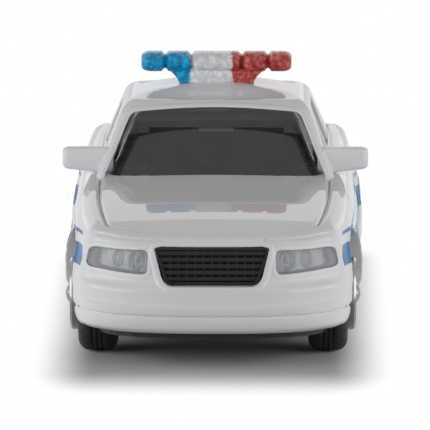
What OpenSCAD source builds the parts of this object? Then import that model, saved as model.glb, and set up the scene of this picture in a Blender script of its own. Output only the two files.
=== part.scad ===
// Die-cast toy police car of the three-inch class: a painted metal shell riveted to a plastic
// base, with a clear window moulding, a seat tub, lamp inserts, a roof light bar and two wheelsets.
// +Z is up, the nose points along -Y and +X is the car's left. The origin is on the ground, at the
// middle of the length and of the width.

/* [Body shell] */
// Length from bumper to bumper
body_l = 80; // [78:0.5:84]
// Width across the doors
body_w = 30; // [29.5:0.25:32]
// Height of the sill above the ground
sill_h = 3.6; // [3.3:0.1:3.8]
// Height of the bonnet at its front edge
nose_h = 13.3; // [13.1:0.1:13.8]
// Height of the bonnet at the foot of the windscreen
cowl_h = 15.5; // [15.2:0.1:15.8]
// Height of the boot lid
boot_h = 16.1; // [15.8:0.1:16.4]
// Height of the boot lid's rear edge
tail_h = 15.5; // [15.1:0.1:15.8]
// Thickness of the cast wall
wall = 1.1; // [0.9:0.05:1.2]
// How far the top edges stand in from the bumper
edge_in = 3.2; // [3:0.1:3.5]
// How far the nose's plan curves back at the corners
nose_bow = 10; // [9:0.5:11]
// How far the tail's plan curves in at the corners
tail_bow = 7; // [6:0.5:8]
// Rise of the bonnet and boot lid from edge to middle
crown = 0.5; // [0.3:0.1:0.7]
// How far the lips of the wheel arches stand out
flare = 0.25; // [0.1:0.05:0.4]
// Width of the engraved panel lines
seam_w = 0.3; // [0.2:0.05:0.4]
// Depth of the engraved panel lines
seam_d = 0.28; // [0.2:0.02:0.4]

/* [Cabin] */
// Height of the middle of the roof
roof_h = 23.5; // [23.3:0.1:24.1]
// Height of the roof's edge
eave_h = 22.4; // [22.2:0.1:22.6]
// Width of the cabin at its foot
cabin_w = 25.8; // [25.4:0.2:26.4]
// Width of the roof
roof_w = 18.7; // [18:0.1:19.4]
// Distance from the nose to the foot of the windscreen
screen_foot = 26.5; // [26:0.5:27.5]
// Distance from the nose to the front of the roof
roof_front = 38; // [37:0.5:38.5]
// Distance from the tail to the rear of the roof
roof_rear = 23; // [22:0.5:24]
// Distance from the tail to the foot of the rear window
rear_foot = 12.5; // [11.5:0.5:13.5]
// Distance from the front of the roof to the middle of the door pillar
pillar_at = 4; // [3:0.5:5]
// Width of the door pillar
pillar_w = 1.5; // [1.2:0.1:1.8]
// Height of the lower edge of the side windows
belt_h = 16.5; // [16.3:0.1:16.8]
// Height of the upper edge of the side windows
window_top_h = 21.3; // [21:0.1:21.5]
// Thickness of the clear moulding
glass_t = 0.7; // [0.5:0.1:0.9]
// Gap round a lamp lens
lens_gap = 0.12; // [0.08:0.02:0.2]

/* [Wheels] */
// Distance between the axles
wheelbase = 44; // [43:0.5:45]
// Distance from the nose to the front axle
front_overhang = 15; // [14.5:0.5:15.5]
// Distance between the middles of the tyres
track = 23; // [22.6:0.1:23.2]
// Diameter of a tyre
tyre_d = 11.5; // [11:0.1:11.8]
// Width of a tyre
tyre_w = 4; // [3.6:0.1:4.2]
// Radius of a tyre's shoulders
tyre_round = 1.2; // [0.8:0.1:1.5]
// Diameter of a wheel disc
hub_d = 7.3; // [6.8:0.1:7.6]
// How far a wheel disc stands out of its tyre
hub_proud = 0.8; // [0.5:0.1:0.9]
// Diameter of an axle
axle_d = 1.5; // [1.2:0.1:1.7]
// Radial clearance of an axle in its bearings
axle_fit = 0.06; // [0.03:0.01:0.09]
// Gap between a tyre and its arch
arch_gap = 0.8; // [0.6:0.05:0.9]

/* [Light bar] */
// Length of the light bar
bar_l = 15.6; // [14:0.2:17]
// Height of the lens pods
pod_h = 2.1; // [1.8:0.1:2.4]
// Depth of the lens pods from front to rear
pod_d = 3.6; // [3:0.1:4.2]
// Height of the foot that carries the pods
foot_h = 1; // [0.8:0.1:1.4]
// Distance from the middle of the roof forward to the middle of the bar
bar_at = 1; // [-1:0.5:2.5]
// Diameter of the two pegs that hold the bar in the roof
peg_d = 1.6; // [1.2:0.1:1.8]

/* [Base and interior] */
// Height of the underside above the ground
base_h = 2.9; // [2.7:0.1:3.1]
// Thickness of the base plate
base_t = 1.3; // [1.1:0.1:1.4]
// Thickness of the tub's floor and walls
tub_t = 0.8; // [0.6:0.1:1]
// Height of the tops of the front seats
seat_h = 18.7; // [18.2:0.1:19.2]
// Diameter of the steering wheel
steering_d = 4.2; // [3.6:0.2:4.6]
// Diameter of the rivets' shanks
rivet_d = 1.6; // [1.4:0.1:1.8]

/* [Hidden] */

paint_white = "#e9e9ec";
plastic_black = "#1b1b1d";
steel = "#b9bbbe";

// Overrun of every cut
over = 1;
// Clearance between fixed pieces
fit = 0.06;

nose_y = -body_l / 2;
tail_y = body_l / 2;
screen_y = nose_y + screen_foot;
header_y = nose_y + roof_front;
rear_header_y = tail_y - roof_rear;
rear_foot_y = tail_y - rear_foot;
roof_middle_y = mix(header_y, rear_header_y, 0.5);
pillar_y = header_y + pillar_at;
bar_y = roof_middle_y - bar_at;
front_axle_y = nose_y + front_overhang;
rear_axle_y = front_axle_y + wheelbase;
axle_h = tyre_d / 2;
arch_r = tyre_d / 2 + arch_gap;
tyre_in = (track - tyre_w) / 2;
tyre_out = (track + tyre_w) / 2;
base_top = base_h + base_t;

// Curves and skins

function mix(a, b, share) = a + (b - a) * share;
function ease(low, high, x) = let (u = min(max((x - low) / (high - low), 0), 1)) u * u * (3 - 2 * u);

// A smooth curve through a table of [place, value] rows
function table_row(table, x, i = 0) =
    i >= len(table) - 2 || x < table[i + 1][0] ? i : table_row(table, x, i + 1);
function table_slope(table, i) =
    let (a = table[max(i - 1, 0)], b = table[min(i + 1, len(table) - 1)]) (b[1] - a[1]) / (b[0] - a[0]);
function curve(table, x) =
    let (i = table_row(table, x),
        a = table[i],
        b = table[i + 1],
        h = b[0] - a[0],
        u = min(max((x - a[0]) / h, 0), 1))
    a[1] * (2 * u ^ 3 - 3 * u ^ 2 + 1) + table_slope(table, i) * h * (u ^ 3 - 2 * u ^ 2 + u)
    + b[1] * (3 * u ^ 2 - 2 * u ^ 3) + table_slope(table, i + 1) * h * (u ^ 3 - u ^ 2);

function arc(cx, cy, r, from, to, steps) =
    [for (k = [0:steps]) let (a = mix(from, to, k / steps)) [cx + r * cos(a), cy + r * sin(a)]];

// Half of a closed plan outline, x > 0: t runs 0 to 1 round the front, to 2 along the side and to 3
// round the rear. An outline is [front, rear, front bow, rear bow, half width, power]
function plan_point(o, t) =
    t < 1 ? [o[4] * sin(90 * t) ^ (2 / o[5]), o[0] + o[2] * (1 - cos(90 * t) ^ (2 / o[5]))]
    : t <= 2 ? [o[4], mix(o[0] + o[2], o[1] - o[3], t - 1)]
    : [o[4] * sin(90 * (3 - t)) ^ (2 / o[5]), o[1] - o[3] * (1 - cos(90 * (3 - t)) ^ (2 / o[5]))];
function plan_inside(o, deep) = [o[0] + deep, o[1] - deep, o[2], o[3], o[4] - deep, o[5]];
function plan_inward(o, t) =
    let (step = 0.02,
        d = plan_point(o, min(t + step, 3)) - plan_point(o, max(t - step, 0)))
    [-d[1], d[0]] / norm(d);

// A closed skin over half sections that run from front to rear, each from the bottom up to the middle
function whole(half) = concat(half, [for (k = [len(half) - 1:-1:0]) [-half[k][0], half[k][1], half[k][2]]]);
module skin(halves) {
    half = len(halves[0]);
    count = 2 * half;
    last = (len(halves) - 1) * count;
    sides = [for (i = [0:len(halves) - 2], j = [0:count - 1])
        let (a = i * count + j, b = i * count + (j + 1) % count)
        each [[a, b, b + count], [a, b + count, a + count]]];
    caps = [for (k = [0:half - 2])
        let (a = k, b = count - 1 - k, c = count - 2 - k, d = k + 1)
        each [[a, b, c], [a, c, d], [last + a, last + c, last + b], [last + a, last + d, last + c]]];
    polyhedron([for (h = halves) each whole(h)], concat(sides, caps), convexity = 8);
}

// Lower body

plan_power = 2.6;
body_plan = [nose_y, tail_y, nose_bow, tail_bow, body_w / 2, plan_power];
// Half width along the length, as shares of the full half width
width_shares = [
    [0, 0.9], [0.1, 0.915], [0.17, 0.955], [0.25, 0.985], [0.35, 0.995], [0.55, 1], [0.75, 1], [0.9, 0.985],
    [1, 0.96]];
// Height share, then inset of flank, nose and tail as shares of edge_in: creases at the bumpers' lips, a ledge
// above the bumpers and the gap in front of the bonnet and behind the boot lid
profile_shares = [
    [0, 0.31, 0.44, 0.41], [0.05, 0.16, 0.16, 0.15], [0.165, 0.08, 0.05, 0.06], [0.185, 0.15, 0.11, 0.1],
    [0.205, 0.06, 0.04, 0.05], [0.28, 0.03, 0, 0], [0.3, 0.03, 0.08, 0.07], [0.45, 0.02, 0.07, 0.05],
    [0.52, 0.05, 0.3, 0.28], [0.6, 0.09, 0.345, 0.31], [0.72, 0.19, 0.39, 0.345], [0.85, 0.29, 0.475, 0.395],
    [0.925, 0.38, 0.585, 0.475], [0.945, 0.42, 0.71, 0.58], [0.965, 0.48, 0.685, 0.55], [1, 0.72, 0.97, 0.84]];
profile_columns = [for (c = [1:3]) [for (r = profile_shares) [r[0], r[c]]]];
// Places across the bonnet, as shares of its half width: the first three make the gap along the lid
top_shares = [0.945, 0.925, 0.9, 0.45, 0.12];
deck_table = [
    [nose_y, nose_h - crown],
    [nose_y + edge_in, nose_h],
    [mix(nose_y + edge_in, screen_y, 0.3), mix(nose_h, cowl_h, 0.4)],
    [mix(nose_y + edge_in, screen_y, 0.65), mix(nose_h, cowl_h, 0.76)],
    [screen_y, cowl_h],
    [rear_foot_y, boot_h],
    [mix(rear_foot_y, tail_y, 0.45), mix(boot_h, tail_h, 0.1)],
    [tail_y - edge_in, tail_h],
    [tail_y, tail_h - crown]];
function deck(y) = curve(deck_table, y);
function crown_drop(x) = crown * (2 * x / body_w) ^ 2;

// Width of the lips round the wheel arches
lip_w = 1.8;
function lip(y, z) =
    let (far = min([for (a = [front_axle_y, rear_axle_y]) norm([y - a, z - axle_h])]))
    flare * max(0, 1 - abs(far - arch_r) / lip_w) ^ 2;
function body_inset(t, s) =
    let (n = plan_inward(body_plan, t)[1], nose = ease(0.2, 0.75, n), tail = ease(0.2, 0.75, -n))
    edge_in * (lookup(s, profile_columns[0]) * (1 - nose - tail) + lookup(s, profile_columns[1]) * nose
        + lookup(s, profile_columns[2]) * tail);
// The plan outline with its barrel, moved inwards by the profile's inset and by a wall's depth
function body_ring(t, inset, deep = 0) =
    let (p = plan_point(plan_inside(body_plan, deep), t), n = plan_inward(body_plan, t),
        w = curve(width_shares, (p[1] - nose_y) / body_l))
    [p[0] * w + n[0] * inset, p[1] + n[1] * inset];
// The cast surface waves by a hair
wave = 0.03;
function ripple(a, b) = wave * sin(a * 7919 + b * 104729);
// A point of the skin at height share s, moved inwards by deep
function body_point(t, s, deep = 0) =
    let (inset = body_inset(t, s),
        edge = body_ring(t, body_inset(t, 1)),
        z = mix(sill_h, deck(edge[1]) - crown_drop(edge[0]), s),
        p = body_ring(t, inset),
        side = ease(0.3, 0.8, abs(plan_inward(body_plan, t)[0])),
        q = body_ring(t, inset + ripple(t, s) - lip(p[1], z) * side, deep))
    [q[0], q[1], z];
// Half a section at station [place, depth of a door line there]
function body_half(station, deep, rows) =
    let (t = station[0],
        edge = body_ring(t, body_inset(t, 1), deep),
        lid = deep > 0 ? 0 : seam_d * ease(0.4, 0.8, t) * ease(0.2, 0.6, 3 - t))
    concat(
        [for (s = rows) body_point(t, s, deep + (s < door_low_share ? 0 : station[1]))
            - [0, 0, deep > 0 && s == 0 ? over : deep * ease(0.8, 1, s)]],
        [for (k = [0:len(top_shares) - 1]) let (f = top_shares[k])
            [edge[0] * f, edge[1],
                deck(edge[1]) - crown_drop(edge[0] * f) - deep + ripple(t, f) - (k == 1 ? lid : 0)]]);
outer_rows = [for (r = profile_shares) r[0]];
inner_row_shares = [0, 0.12, 0.45, 0.52, 0.85, 0.95, 1];
// Lowest height share of the door lines
door_low_share = 0.2;
// Sections of the skin: nose, flank with its wheel arches and door lines, and tail
function flank_place(y) = 1 + (y - nose_y - nose_bow) / (body_l - nose_bow - tail_bow);
function even(from, to, count) = [for (k = [0:count - 1]) [mix(from, to, k / count), 0]];
function door_line(y) = [for (k = [-1, 0, 1]) [flank_place(y + k * seam_w / 2), k == 0 ? seam_d : 0]];
// Distances of the door lines from the wheel arches
door_front_gap = 1.6;
door_rear_gap = 0.8;
door_front_y = front_axle_y + arch_r + door_front_gap;
door_rear_y = rear_axle_y - arch_r - door_rear_gap;
nose_stations = [for (k = [0:6]) [mix(0.05, 1, (k / 7) ^ 1.15), 0]];
tail_stations = [for (k = [0:6]) [mix(2, 2.95, k / 6), 0]];
body_stations = concat(
    nose_stations,
    even(1, flank_place(front_axle_y + arch_r), 5),
    door_line(door_front_y),
    even(flank_place(mix(door_front_y, pillar_y, 0.33)), flank_place(pillar_y - seam_w), 2),
    door_line(pillar_y),
    even(flank_place(mix(pillar_y, door_rear_y, 0.5)), flank_place(door_rear_y - seam_w), 1),
    door_line(door_rear_y),
    even(flank_place(rear_axle_y - arch_r), 2, 7),
    tail_stations);
inner_stations = concat(
    [for (k = [0:2:6]) nose_stations[k]],
    even(1, 2, 6),
    [for (k = [0:2:6]) tail_stations[k]]);
module body_skin(deep = 0) {
    skin([for (b = body_stations) body_half(b, deep, outer_rows)]);
}
module body_inside() {
    skin([for (b = inner_stations) body_half(b, wall, inner_row_shares)]);
}

// A patch of the skin from one distance across to another and between two height shares, as a solid
// from one depth to another. Its ends are rounded over end_share of its length
function nose_place(x) = asin(min((x / (body_w / 2)) ^ (plan_power / 2), 1)) / 90;
module lamp_patch(from_x, to_x, low, high, taper, near, far, tail = false) {
    columns = 8;
    rows = 3;
    end_share = 0.12;
    span = [for (i = [0:columns]) let (
        u = i / columns,
        place = nose_place(mix(from_x, to_x, u)),
        t = tail ? 3 - place : place,
        edge = min(u, 1 - u) / end_share,
        open = edge >= 1 ? 1 : mix(0.72, 1, sqrt(1 - (1 - edge) ^ 2)),
        middle = mix(low, high, 0.5),
        half = (high - low) / 2 * open * mix(1, taper, u))
        [t, middle - half, middle + half]];
    count = (rows + 1) * 2;
    points = [for (c = span) each concat(
        [for (j = [0:rows]) body_point(c[0], mix(c[1], c[2], j / rows), near)],
        [for (j = [rows:-1:0]) body_point(c[0], mix(c[1], c[2], j / rows), far)])];
    sides = [for (i = [0:columns - 1], j = [0:count - 1])
        let (a = i * count + j, b = i * count + (j + 1) % count)
        each [[a, b, b + count], [a, b + count, a + count]]];
    last = columns * count;
    caps = [for (j = [0:rows - 1])
        let (a = j, b = j + 1, c = count - 2 - j, d = count - 1 - j)
        each [[a, d, c], [a, c, b], [last + a, last + c, last + d], [last + a, last + b, last + c]]];
    turned = [for (f = concat(sides, caps)) tail ? [f[0], f[2], f[1]] : f];
    polyhedron(points, turned, convexity = 4);
}

// Cabin

cabin_foot_h = cowl_h - 2 * wall;
// How far the cabin's plan curves in at its corners, at its foot and at its roof
screen_bow = 3.4;
rear_bow = 3;
header_bow = 1.8;
rear_header_bow = 1.6;
cabin_power = 3.2;
foot_plan = [screen_y, rear_foot_y, screen_bow, rear_bow, cabin_w / 2, cabin_power];
roof_plan = [header_y, rear_header_y, header_bow, rear_header_bow, roof_w / 2, cabin_power];
// Height share, then inset of the roof's round edge as a share of roof_edge
cabin_shares = [[0, 0], [0.9, 0], [0.96, 0.3], [1, 0.8]];
roof_edge = 0.9;
roof_shares = [0.84, 0.56, 0.26, 0.08];
function cabin_point(t, s, deep) =
    let (inset = deep + ripple(t, s) + roof_edge * lookup(s, cabin_shares),
        foot = plan_point(plan_inside(foot_plan, inset), t),
        top = plan_point(plan_inside(roof_plan, inset), t),
        p = mix(foot, top, s))
    [p[0], p[1], mix(cabin_foot_h, eave_h - deep, s)];
// Half a section, its walls carried on below the foot
roof_power = 2.2;
function cabin_half(t, deep, below) =
    let (edge = cabin_point(t, 1, deep), low = -below / (eave_h - deep - cabin_foot_h))
    concat(
        [for (r = cabin_shares) cabin_point(t, r[0] == 0 ? low : r[0], deep)],
        [for (f = roof_shares)
            [edge[0] * f, edge[1], mix(roof_h, eave_h, f ^ roof_power) - deep - wave + ripple(t, f)]]);
function corner_stations(count) = concat(
    [for (k = [0:count]) mix(0.05, 1, k / count)],
    [for (k = [0:count]) mix(2, 2.95, k / count)]);
cabin_stations = corner_stations(6);
cabin_inner_stations = corner_stations(4);
module cabin_skin(deep) {
    skin([for (t = cabin_stations) cabin_half(t, deep, 0)]);
}
module cabin_inside(deep, below) {
    skin([for (t = cabin_inner_stations) cabin_half(t, deep, below)]);
}

// Windows

window_round = 0.55;
// Distance of the windows' slanted edges from the pillars' lines
front_pillar = 1.5;
rear_pillar = 4.2;
// Width of the bar before the rear quarter window
quarter_bar = 0.9;
// Widths of the painted frames beside the windscreen and the rear window
screen_foot_frame = 1;
screen_top_frame = 0.65;
rear_foot_frame = 2.6;
rear_top_frame = 1.25;
// Depth of the roof's edge above the windscreen, and rise of its arch
header_t = 1;
screen_arch = 0.5;
screen_foot_w = cabin_w - 2 * screen_foot_frame;
screen_top_w = roof_w - 2 * screen_top_frame;
rear_foot_w = cabin_w - 2 * rear_foot_frame;
rear_top_w = roof_w - 2 * rear_top_frame;
screen_top_h = eave_h - header_t;
function pillar_line(t, z) =
    let (s = (z - cabin_foot_h) / (eave_h - cabin_foot_h))
    mix(plan_point(foot_plan, t)[1], plan_point(roof_plan, t)[1], s);
front_edge = [for (z = [belt_h, window_top_h]) pillar_line(1, z) + front_pillar];
rear_edge = [for (z = [belt_h, window_top_h]) pillar_line(2, z) - rear_pillar];
quarter_edge = mix(pillar_y, rear_edge[0], 0.74);
side_windows = [
    [[front_edge[0], belt_h], [pillar_y - pillar_w / 2, belt_h],
        [pillar_y - pillar_w / 2, window_top_h], [front_edge[1], window_top_h]],
    [[pillar_y + pillar_w / 2, belt_h], [quarter_edge, belt_h],
        [mix(quarter_edge, rear_edge[1], 0.6), window_top_h], [pillar_y + pillar_w / 2, window_top_h]],
    [[quarter_edge + quarter_bar, belt_h], [rear_edge[0], belt_h],
        [mix(quarter_edge, rear_edge[1], 0.45) + quarter_bar, mix(belt_h, window_top_h, 0.8)]]];

// A prism through rounded corners, along +Y from the plane y = 0
module front_prism(corners, length) {
    hull() for (c = corners) translate([c[0], 0, c[1]]) rotate([-90, 0, 0])
        cylinder(r = window_round, h = length, $fn = 16);
}
module side_prism(corners, side) {
    middle = [for (i = [0, 1]) mix(min([for (c = corners) c[i]]), max([for (c = corners) c[i]]), 0.5)];
    hull() for (c = corners) {
        y = c[0] + sign(middle[0] - c[0]) * window_round;
        z = c[1] + sign(middle[1] - c[1]) * window_round;
        translate([side * roof_w / 4, y, z]) rotate([0, side * 90, 0])
            cylinder(r = window_round, h = cabin_w / 2, $fn = 16);
    }
}
function screen_corners(foot_w, top_w, foot_z) = concat(
    [for (side = [-1, 1]) each [
        [side * (foot_w / 2 - window_round), foot_z],
        [side * (top_w / 2 - window_round), screen_top_h - window_round]]],
    [[0, screen_top_h + screen_arch - window_round]]);
module window_cuts() {
    screen = screen_corners(screen_foot_w, screen_top_w, cowl_h - window_round);
    rear = screen_corners(rear_foot_w, rear_top_w, boot_h - window_round);
    translate([0, screen_y - over, 0]) front_prism(screen, header_y - screen_y + 2 * over);
    translate([0, rear_header_y - over, 0]) front_prism(rear, rear_foot_y - rear_header_y + 2 * over);
    for (side = [-1, 1], w = side_windows) side_prism(w, side);
}

// Body shell

grille_w = 11.5;
grille_foot_w = 9.6;
grille_low = 8.35;
grille_high = 12.2;
grille_round = 0.8;
grille_depth = 1.4;
// Depth of the grille's face behind the nose
grille_set = 1.9;
grille_front_y = nose_y + grille_set;
module grille_outline(grow) {
    offset(r = grow) hull() for (side = [-1, 1]) {
        translate([side * (grille_w / 2 - grille_round / 2), grille_high - grille_round / 2])
            circle(r = grille_round / 2, $fn = 24);
        translate([side * (grille_foot_w / 2 - grille_round), grille_low + grille_round])
            circle(r = grille_round, $fn = 24);
    }
}
module grille_prism(grow, from_y, length) {
    translate([0, from_y + length, 0]) rotate([90, 0, 0]) linear_extrude(length) grille_outline(grow);
}

// Paint between grille and headlight, and from the lamps' ends to the flank
lamp_space = 1.6;
lamp_end = 0.6;
lamp_from = grille_w / 2 + lamp_space;
lamp_to = body_w / 2 - lamp_end;
// Height shares of the headlights and of the tail lights
lamp_shares = [0.6, 0.85];
lamp_taper = 0.8;
// Width between the tail lights
tail_space_w = 12.8;
tail_from = tail_space_w / 2;
tail_to = body_w / 2 - lamp_end;
tail_shares = [0.58, 0.84];
tail_taper = 0.94;
module headlight(side, near, far, grow = 0) {
    s = grow / (nose_h - sill_h);
    mirror([side < 0 ? 1 : 0, 0, 0])
        lamp_patch(lamp_from - grow, lamp_to + grow / 4, lamp_shares[0] - s, lamp_shares[1] + s,
            lamp_taper, near, far);
}
module tail_light(side, near, far, grow = 0) {
    s = grow / (tail_h - sill_h);
    mirror([side < 0 ? 1 : 0, 0, 0])
        lamp_patch(tail_from - grow, tail_to + grow / 4, tail_shares[0] - s, tail_shares[1] + s,
            tail_taper, near, far, true);
}

// Door mirrors: how far they stand out of the doors, reach below and above the windows' lower edge
// and rise towards their ends
mirror_proud = 0.7;
mirror_drop = 1.2;
mirror_rise = 1.6;
mirror_lift = 0.5;
mirror_slope = 0.2;
mirror_low = belt_h - mirror_drop;
mirror_high = belt_h + mirror_rise;
mirror_out = body_w / 2 + mirror_proud;
mirror_round = 0.4;
mirror_wall_w = mix(cabin_w, roof_w, (mirror_high - cabin_foot_h) / (eave_h - cabin_foot_h));
mirror_in = mirror_wall_w / 2 - wall / 2 + mirror_round;
mirror_t = 1.9;
mirror_sweep = 0.9;
module door_mirror(side) {
    y = pillar_line(1, mirror_low) + mirror_t;
    hull() for (out = [0, 1], up = [0, 1], back = [0, 1])
        translate([
            side * mix(mirror_in, mirror_out - mirror_round, out),
            y + mirror_sweep * out + (mirror_t - 2 * mirror_round) * back * mix(1, 0.7, up),
            mix(mirror_low + mirror_lift * out + mirror_round,
                mirror_high - mirror_slope * out - mirror_round, up)])
            sphere(r = mirror_round, $fn = 10);
}

// The rivets' posts stand before the front arches, and behind both the rear arches and the rear window
post_r = 1.7;
post_set = 1.4;
front_post_y = front_axle_y - arch_r - post_r;
rear_post_y = max(mix(rear_axle_y + arch_r, tail_y - edge_in, 0.3), rear_foot_y + post_set);
module arch_cuts() {
    for (y = [front_axle_y, rear_axle_y], side = [-1, 1])
        translate([side * (tyre_in - arch_gap), y, axle_h]) rotate([0, side * 90, 0])
            cylinder(r = arch_r, h = body_w / 2, $fn = 48);
}
module body_shell() {
    color(paint_white) difference() {
        union() {
            difference() {
                union() {
                    body_skin();
                    difference() {
                        cabin_skin(0);
                        window_cuts();
                    }
                    for (side = [-1, 1]) door_mirror(side);
                }
                body_inside();
                cabin_inside(wall, wall);
            }
            for (y = [front_post_y, rear_post_y]) translate([0, y, base_top + fit])
                cylinder(r = post_r, h = deck(y) - wall / 2 - base_top, $fn = 24);
        }
        arch_cuts();
        grille_prism(0, nose_y - over, edge_in + wall + over);
        for (side = [-1, 1]) {
            headlight(side, -over, wall + over, lens_gap);
            tail_light(side, -over, wall + over, lens_gap);
        }
        for (y = [front_post_y, rear_post_y]) translate([0, y, base_h])
            cylinder(r = rivet_d / 2 + fit, h = base_t + rivet_grip + fit, $fn = 24);
        for (x = [-peg_x, peg_x]) translate([x, bar_y, roof_h - 2 * wall])
            cylinder(r = peg_d / 2 + fit, h = 3 * wall, $fn = 24);
    }
}

// Window moulding: one clear dome behind all the openings

glass_gap = 0.12;
module window_moulding() {
    color("#2b2e35", 0.6) difference() {
        cabin_inside(wall + glass_gap, 0);
        cabin_inside(wall + glass_gap + glass_t, over);
        translate([0, 0, cabin_foot_h - over])
            linear_extrude(max(cowl_h, boot_h) - cabin_foot_h + over - wall / 2)
                square([2 * body_w, 2 * body_l], center = true);
    }
}

// Interior tub: floor, door cards, two front seats, a rear bench and the dashboard

// Gaps between the tub and the shell's walls, its deck and the rear axle
tub_gap = 0.6;
tub_set = 1.2;
shoulder_in = edge_in * profile_shares[len(profile_shares) - 1][1];
tub_half = min(cabin_w / 2, body_w / 2 - shoulder_in) - wall - tub_gap;
tub_front_y = screen_y + tub_set;
tub_rear_y = rear_axle_y - axle_d - tub_gap;
tub_narrow = tyre_in - arch_gap - tub_t;
tub_narrow_y = rear_axle_y - arch_r - 2 * fit;
tub_h = cowl_h - crown - wall - tub_gap / 2;
seat_w = 5.2;
seat_x = 4.4;
seat_d = 9;
// Distance of the front seats' edge before the middle of the roof
seat_at = 10;
bench_d = 8.5;
dash_d = 4;
steering_gap = 1.2;
steering_y = tub_front_y + dash_d + steering_gap;
module tub_plan() {
    half = [[tub_half, tub_front_y], [tub_half, tub_narrow_y],
        [tub_narrow, tub_narrow_y], [tub_narrow, tub_rear_y]];
    polygon(concat(half, [for (k = [len(half) - 1:-1:0]) [-half[k][0], half[k][1]]]));
}
// A seat's side profile, from its front edge, as shares of its depth and height
seat_shares = [
    [0, 0], [0, 0.26], [0.06, 0.31], [0.55, 0.27], [0.72, 0.72], [0.73, 0.93], [0.79, 1], [0.92, 1],
    [0.98, 0.94], [0.98, 0.78], [0.86, 0.2], [0.84, 0]];
module seat(x, width, y, depth, height) {
    translate([x - width / 2, y, base_top + tub_t / 2]) rotate([90, 0, 90]) linear_extrude(width)
        polygon([for (p = seat_shares) [p[0] * depth, p[1] * height]]);
}
// Dashboard profile, as shares of its depth and height
dash_shares = [[0, 0.5], [0, 0.94], [0.25, 1], [0.7, 0.97], [1, 0.86], [0.9, 0.62], [0.55, 0.5]];
module dashboard() {
    translate([-tub_half + tub_t / 2, tub_front_y, base_top]) rotate([90, 0, 90])
        linear_extrude(2 * tub_half - tub_t)
            polygon([for (p = dash_shares) [p[0] * dash_d, p[1] * (tub_h - base_top)]]);
}
module steering_wheel() {
    rim_r = steering_d / 14;
    translate([seat_x, steering_y, mix(base_top, tub_h, 0.84)]) rotate([-62, 0, 0]) {
        rotate_extrude($fn = 32) translate([steering_d / 2 - rim_r, 0]) circle(r = rim_r, $fn = 16);
        cylinder(r = steering_d / 8, h = rim_r, $fn = 24);
        translate([0, 0, -dash_d / 2]) cylinder(r = rim_r, h = dash_d / 2 + rim_r / 2, $fn = 16);
        for (a = [30, 150, 270]) rotate([0, 0, a]) translate([0, -rim_r / 2, -rim_r / 2])
            cube([steering_d / 2 - rim_r, rim_r, rim_r]);
    }
}
module interior_tub() {
    color(plastic_black) {
        translate([0, 0, base_top]) difference() {
            linear_extrude(tub_h - base_top) tub_plan();
            translate([0, 0, tub_t]) linear_extrude(tub_h) offset(delta = -tub_t) tub_plan();
        }
        dashboard();
        steering_wheel();
        for (side = [-1, 1])
            seat(side * seat_x, seat_w, roof_middle_y - seat_at, seat_d, seat_h - base_top - tub_t / 2);
        seat(0, 2 * tub_narrow - tub_t, tub_rear_y - bench_d, bench_d, tub_h - base_top);
    }
}

// Base plate with bored axle bearings

// Gap between the base and the shell's sills, and how much further the base's ends stand in
base_gap = 0.3;
base_end_in = 0.45;
base_inset = edge_in * profile_shares[0][1] + wall + base_gap;
bearing_t = 1.6;
bearing_x = tyre_in - arch_gap - bearing_t;
bearing_l = 4;
rivet_head_r = 1.5;
rivet_head_t = 0.6;
rivet_grip = 3;
relief_d = 0.35;
module base_outline() {
    half = [for (b = concat(nose_stations, even(1, 2, 8), tail_stations))
        body_ring(b[0], base_inset + base_end_in * abs(plan_inward(body_plan, b[0])[1]))];
    polygon(concat(half, [for (k = [len(half) - 1:-1:0]) [-half[k][0], half[k][1]]]));
}
module base_plate() {
    notch = tyre_in - arch_gap / 2;
    color(plastic_black) difference() {
        union() {
            translate([0, 0, base_h]) linear_extrude(base_t) base_outline();
            for (y = [front_axle_y, rear_axle_y], side = [0, 1]) mirror([side, 0, 0])
                translate([bearing_x, y - bearing_l / 2, base_top])
                    cube([bearing_t, bearing_l, axle_h + axle_d - base_top]);
        }
        for (y = [front_axle_y, rear_axle_y], side = [0, 1]) {
            mirror([side, 0, 0]) translate([notch, y - arch_r, base_h - over])
                cube([body_w, 2 * arch_r, base_t + 2 * over]);
            translate([-tyre_in, y, axle_h]) rotate([0, 90, 0])
                cylinder(r = axle_d / 2 + axle_fit, h = 2 * tyre_in, $fn = 48);
        }
        for (y = [front_post_y, rear_post_y]) translate([0, y, base_h - over]) {
            cylinder(r = rivet_d / 2 + fit, h = base_t + 2 * over, $fn = 32);
            cylinder(r = rivet_head_r + fit, h = over + rivet_head_t + fit, $fn = 32);
        }
        underside_relief();
    }
}
// Shallow moulded recesses: engine bay, gearbox tunnel with its prop shaft, exhaust and fuel tank
module underside_relief() {
    engine_w = 9;
    tank_w = 13;
    tunnel_w = 3.4;
    pipe_r = 0.55;
    fin_w = 0.6;
    fin_pitch = 1.6;
    engine_y = front_axle_y + arch_r;
    tank_y = rear_axle_y - arch_r;
    translate([0, 0, base_h - over]) linear_extrude(over + relief_d) difference() {
        union() {
            translate([-engine_w / 2, front_axle_y - bearing_l / 2])
                square([engine_w, engine_y - front_axle_y]);
            translate([-tunnel_w / 2, engine_y - bearing_l])
                square([tunnel_w, tank_y - engine_y + bearing_l]);
            translate([-tank_w / 2, tank_y - bearing_l]) square([tank_w, bearing_l - fin_w]);
        }
        translate([-pipe_r, engine_y]) square([2 * pipe_r, tank_y - engine_y - bearing_l]);
        for (k = [0:3]) translate([-engine_w / 2 + fin_w, front_axle_y - fin_w + k * fin_pitch])
            square([engine_w - 2 * fin_w, fin_w]);
    }
    translate([tunnel_w + 2 * pipe_r, engine_y, base_h]) rotate([-90, 0, 0])
        cylinder(r = pipe_r, h = rear_post_y - engine_y, $fn = 24);
}

// Light bar: one clear moulding of five pods on a foot, with two pegs through the roof

peg_x = 2.6;
// Ends of the pods from the middle, as shares of half the bar's length
pod_shares = [0, 0.335, 0.685, 1];
waist_share = 0.84;
bar_power = 2.7;
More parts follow.
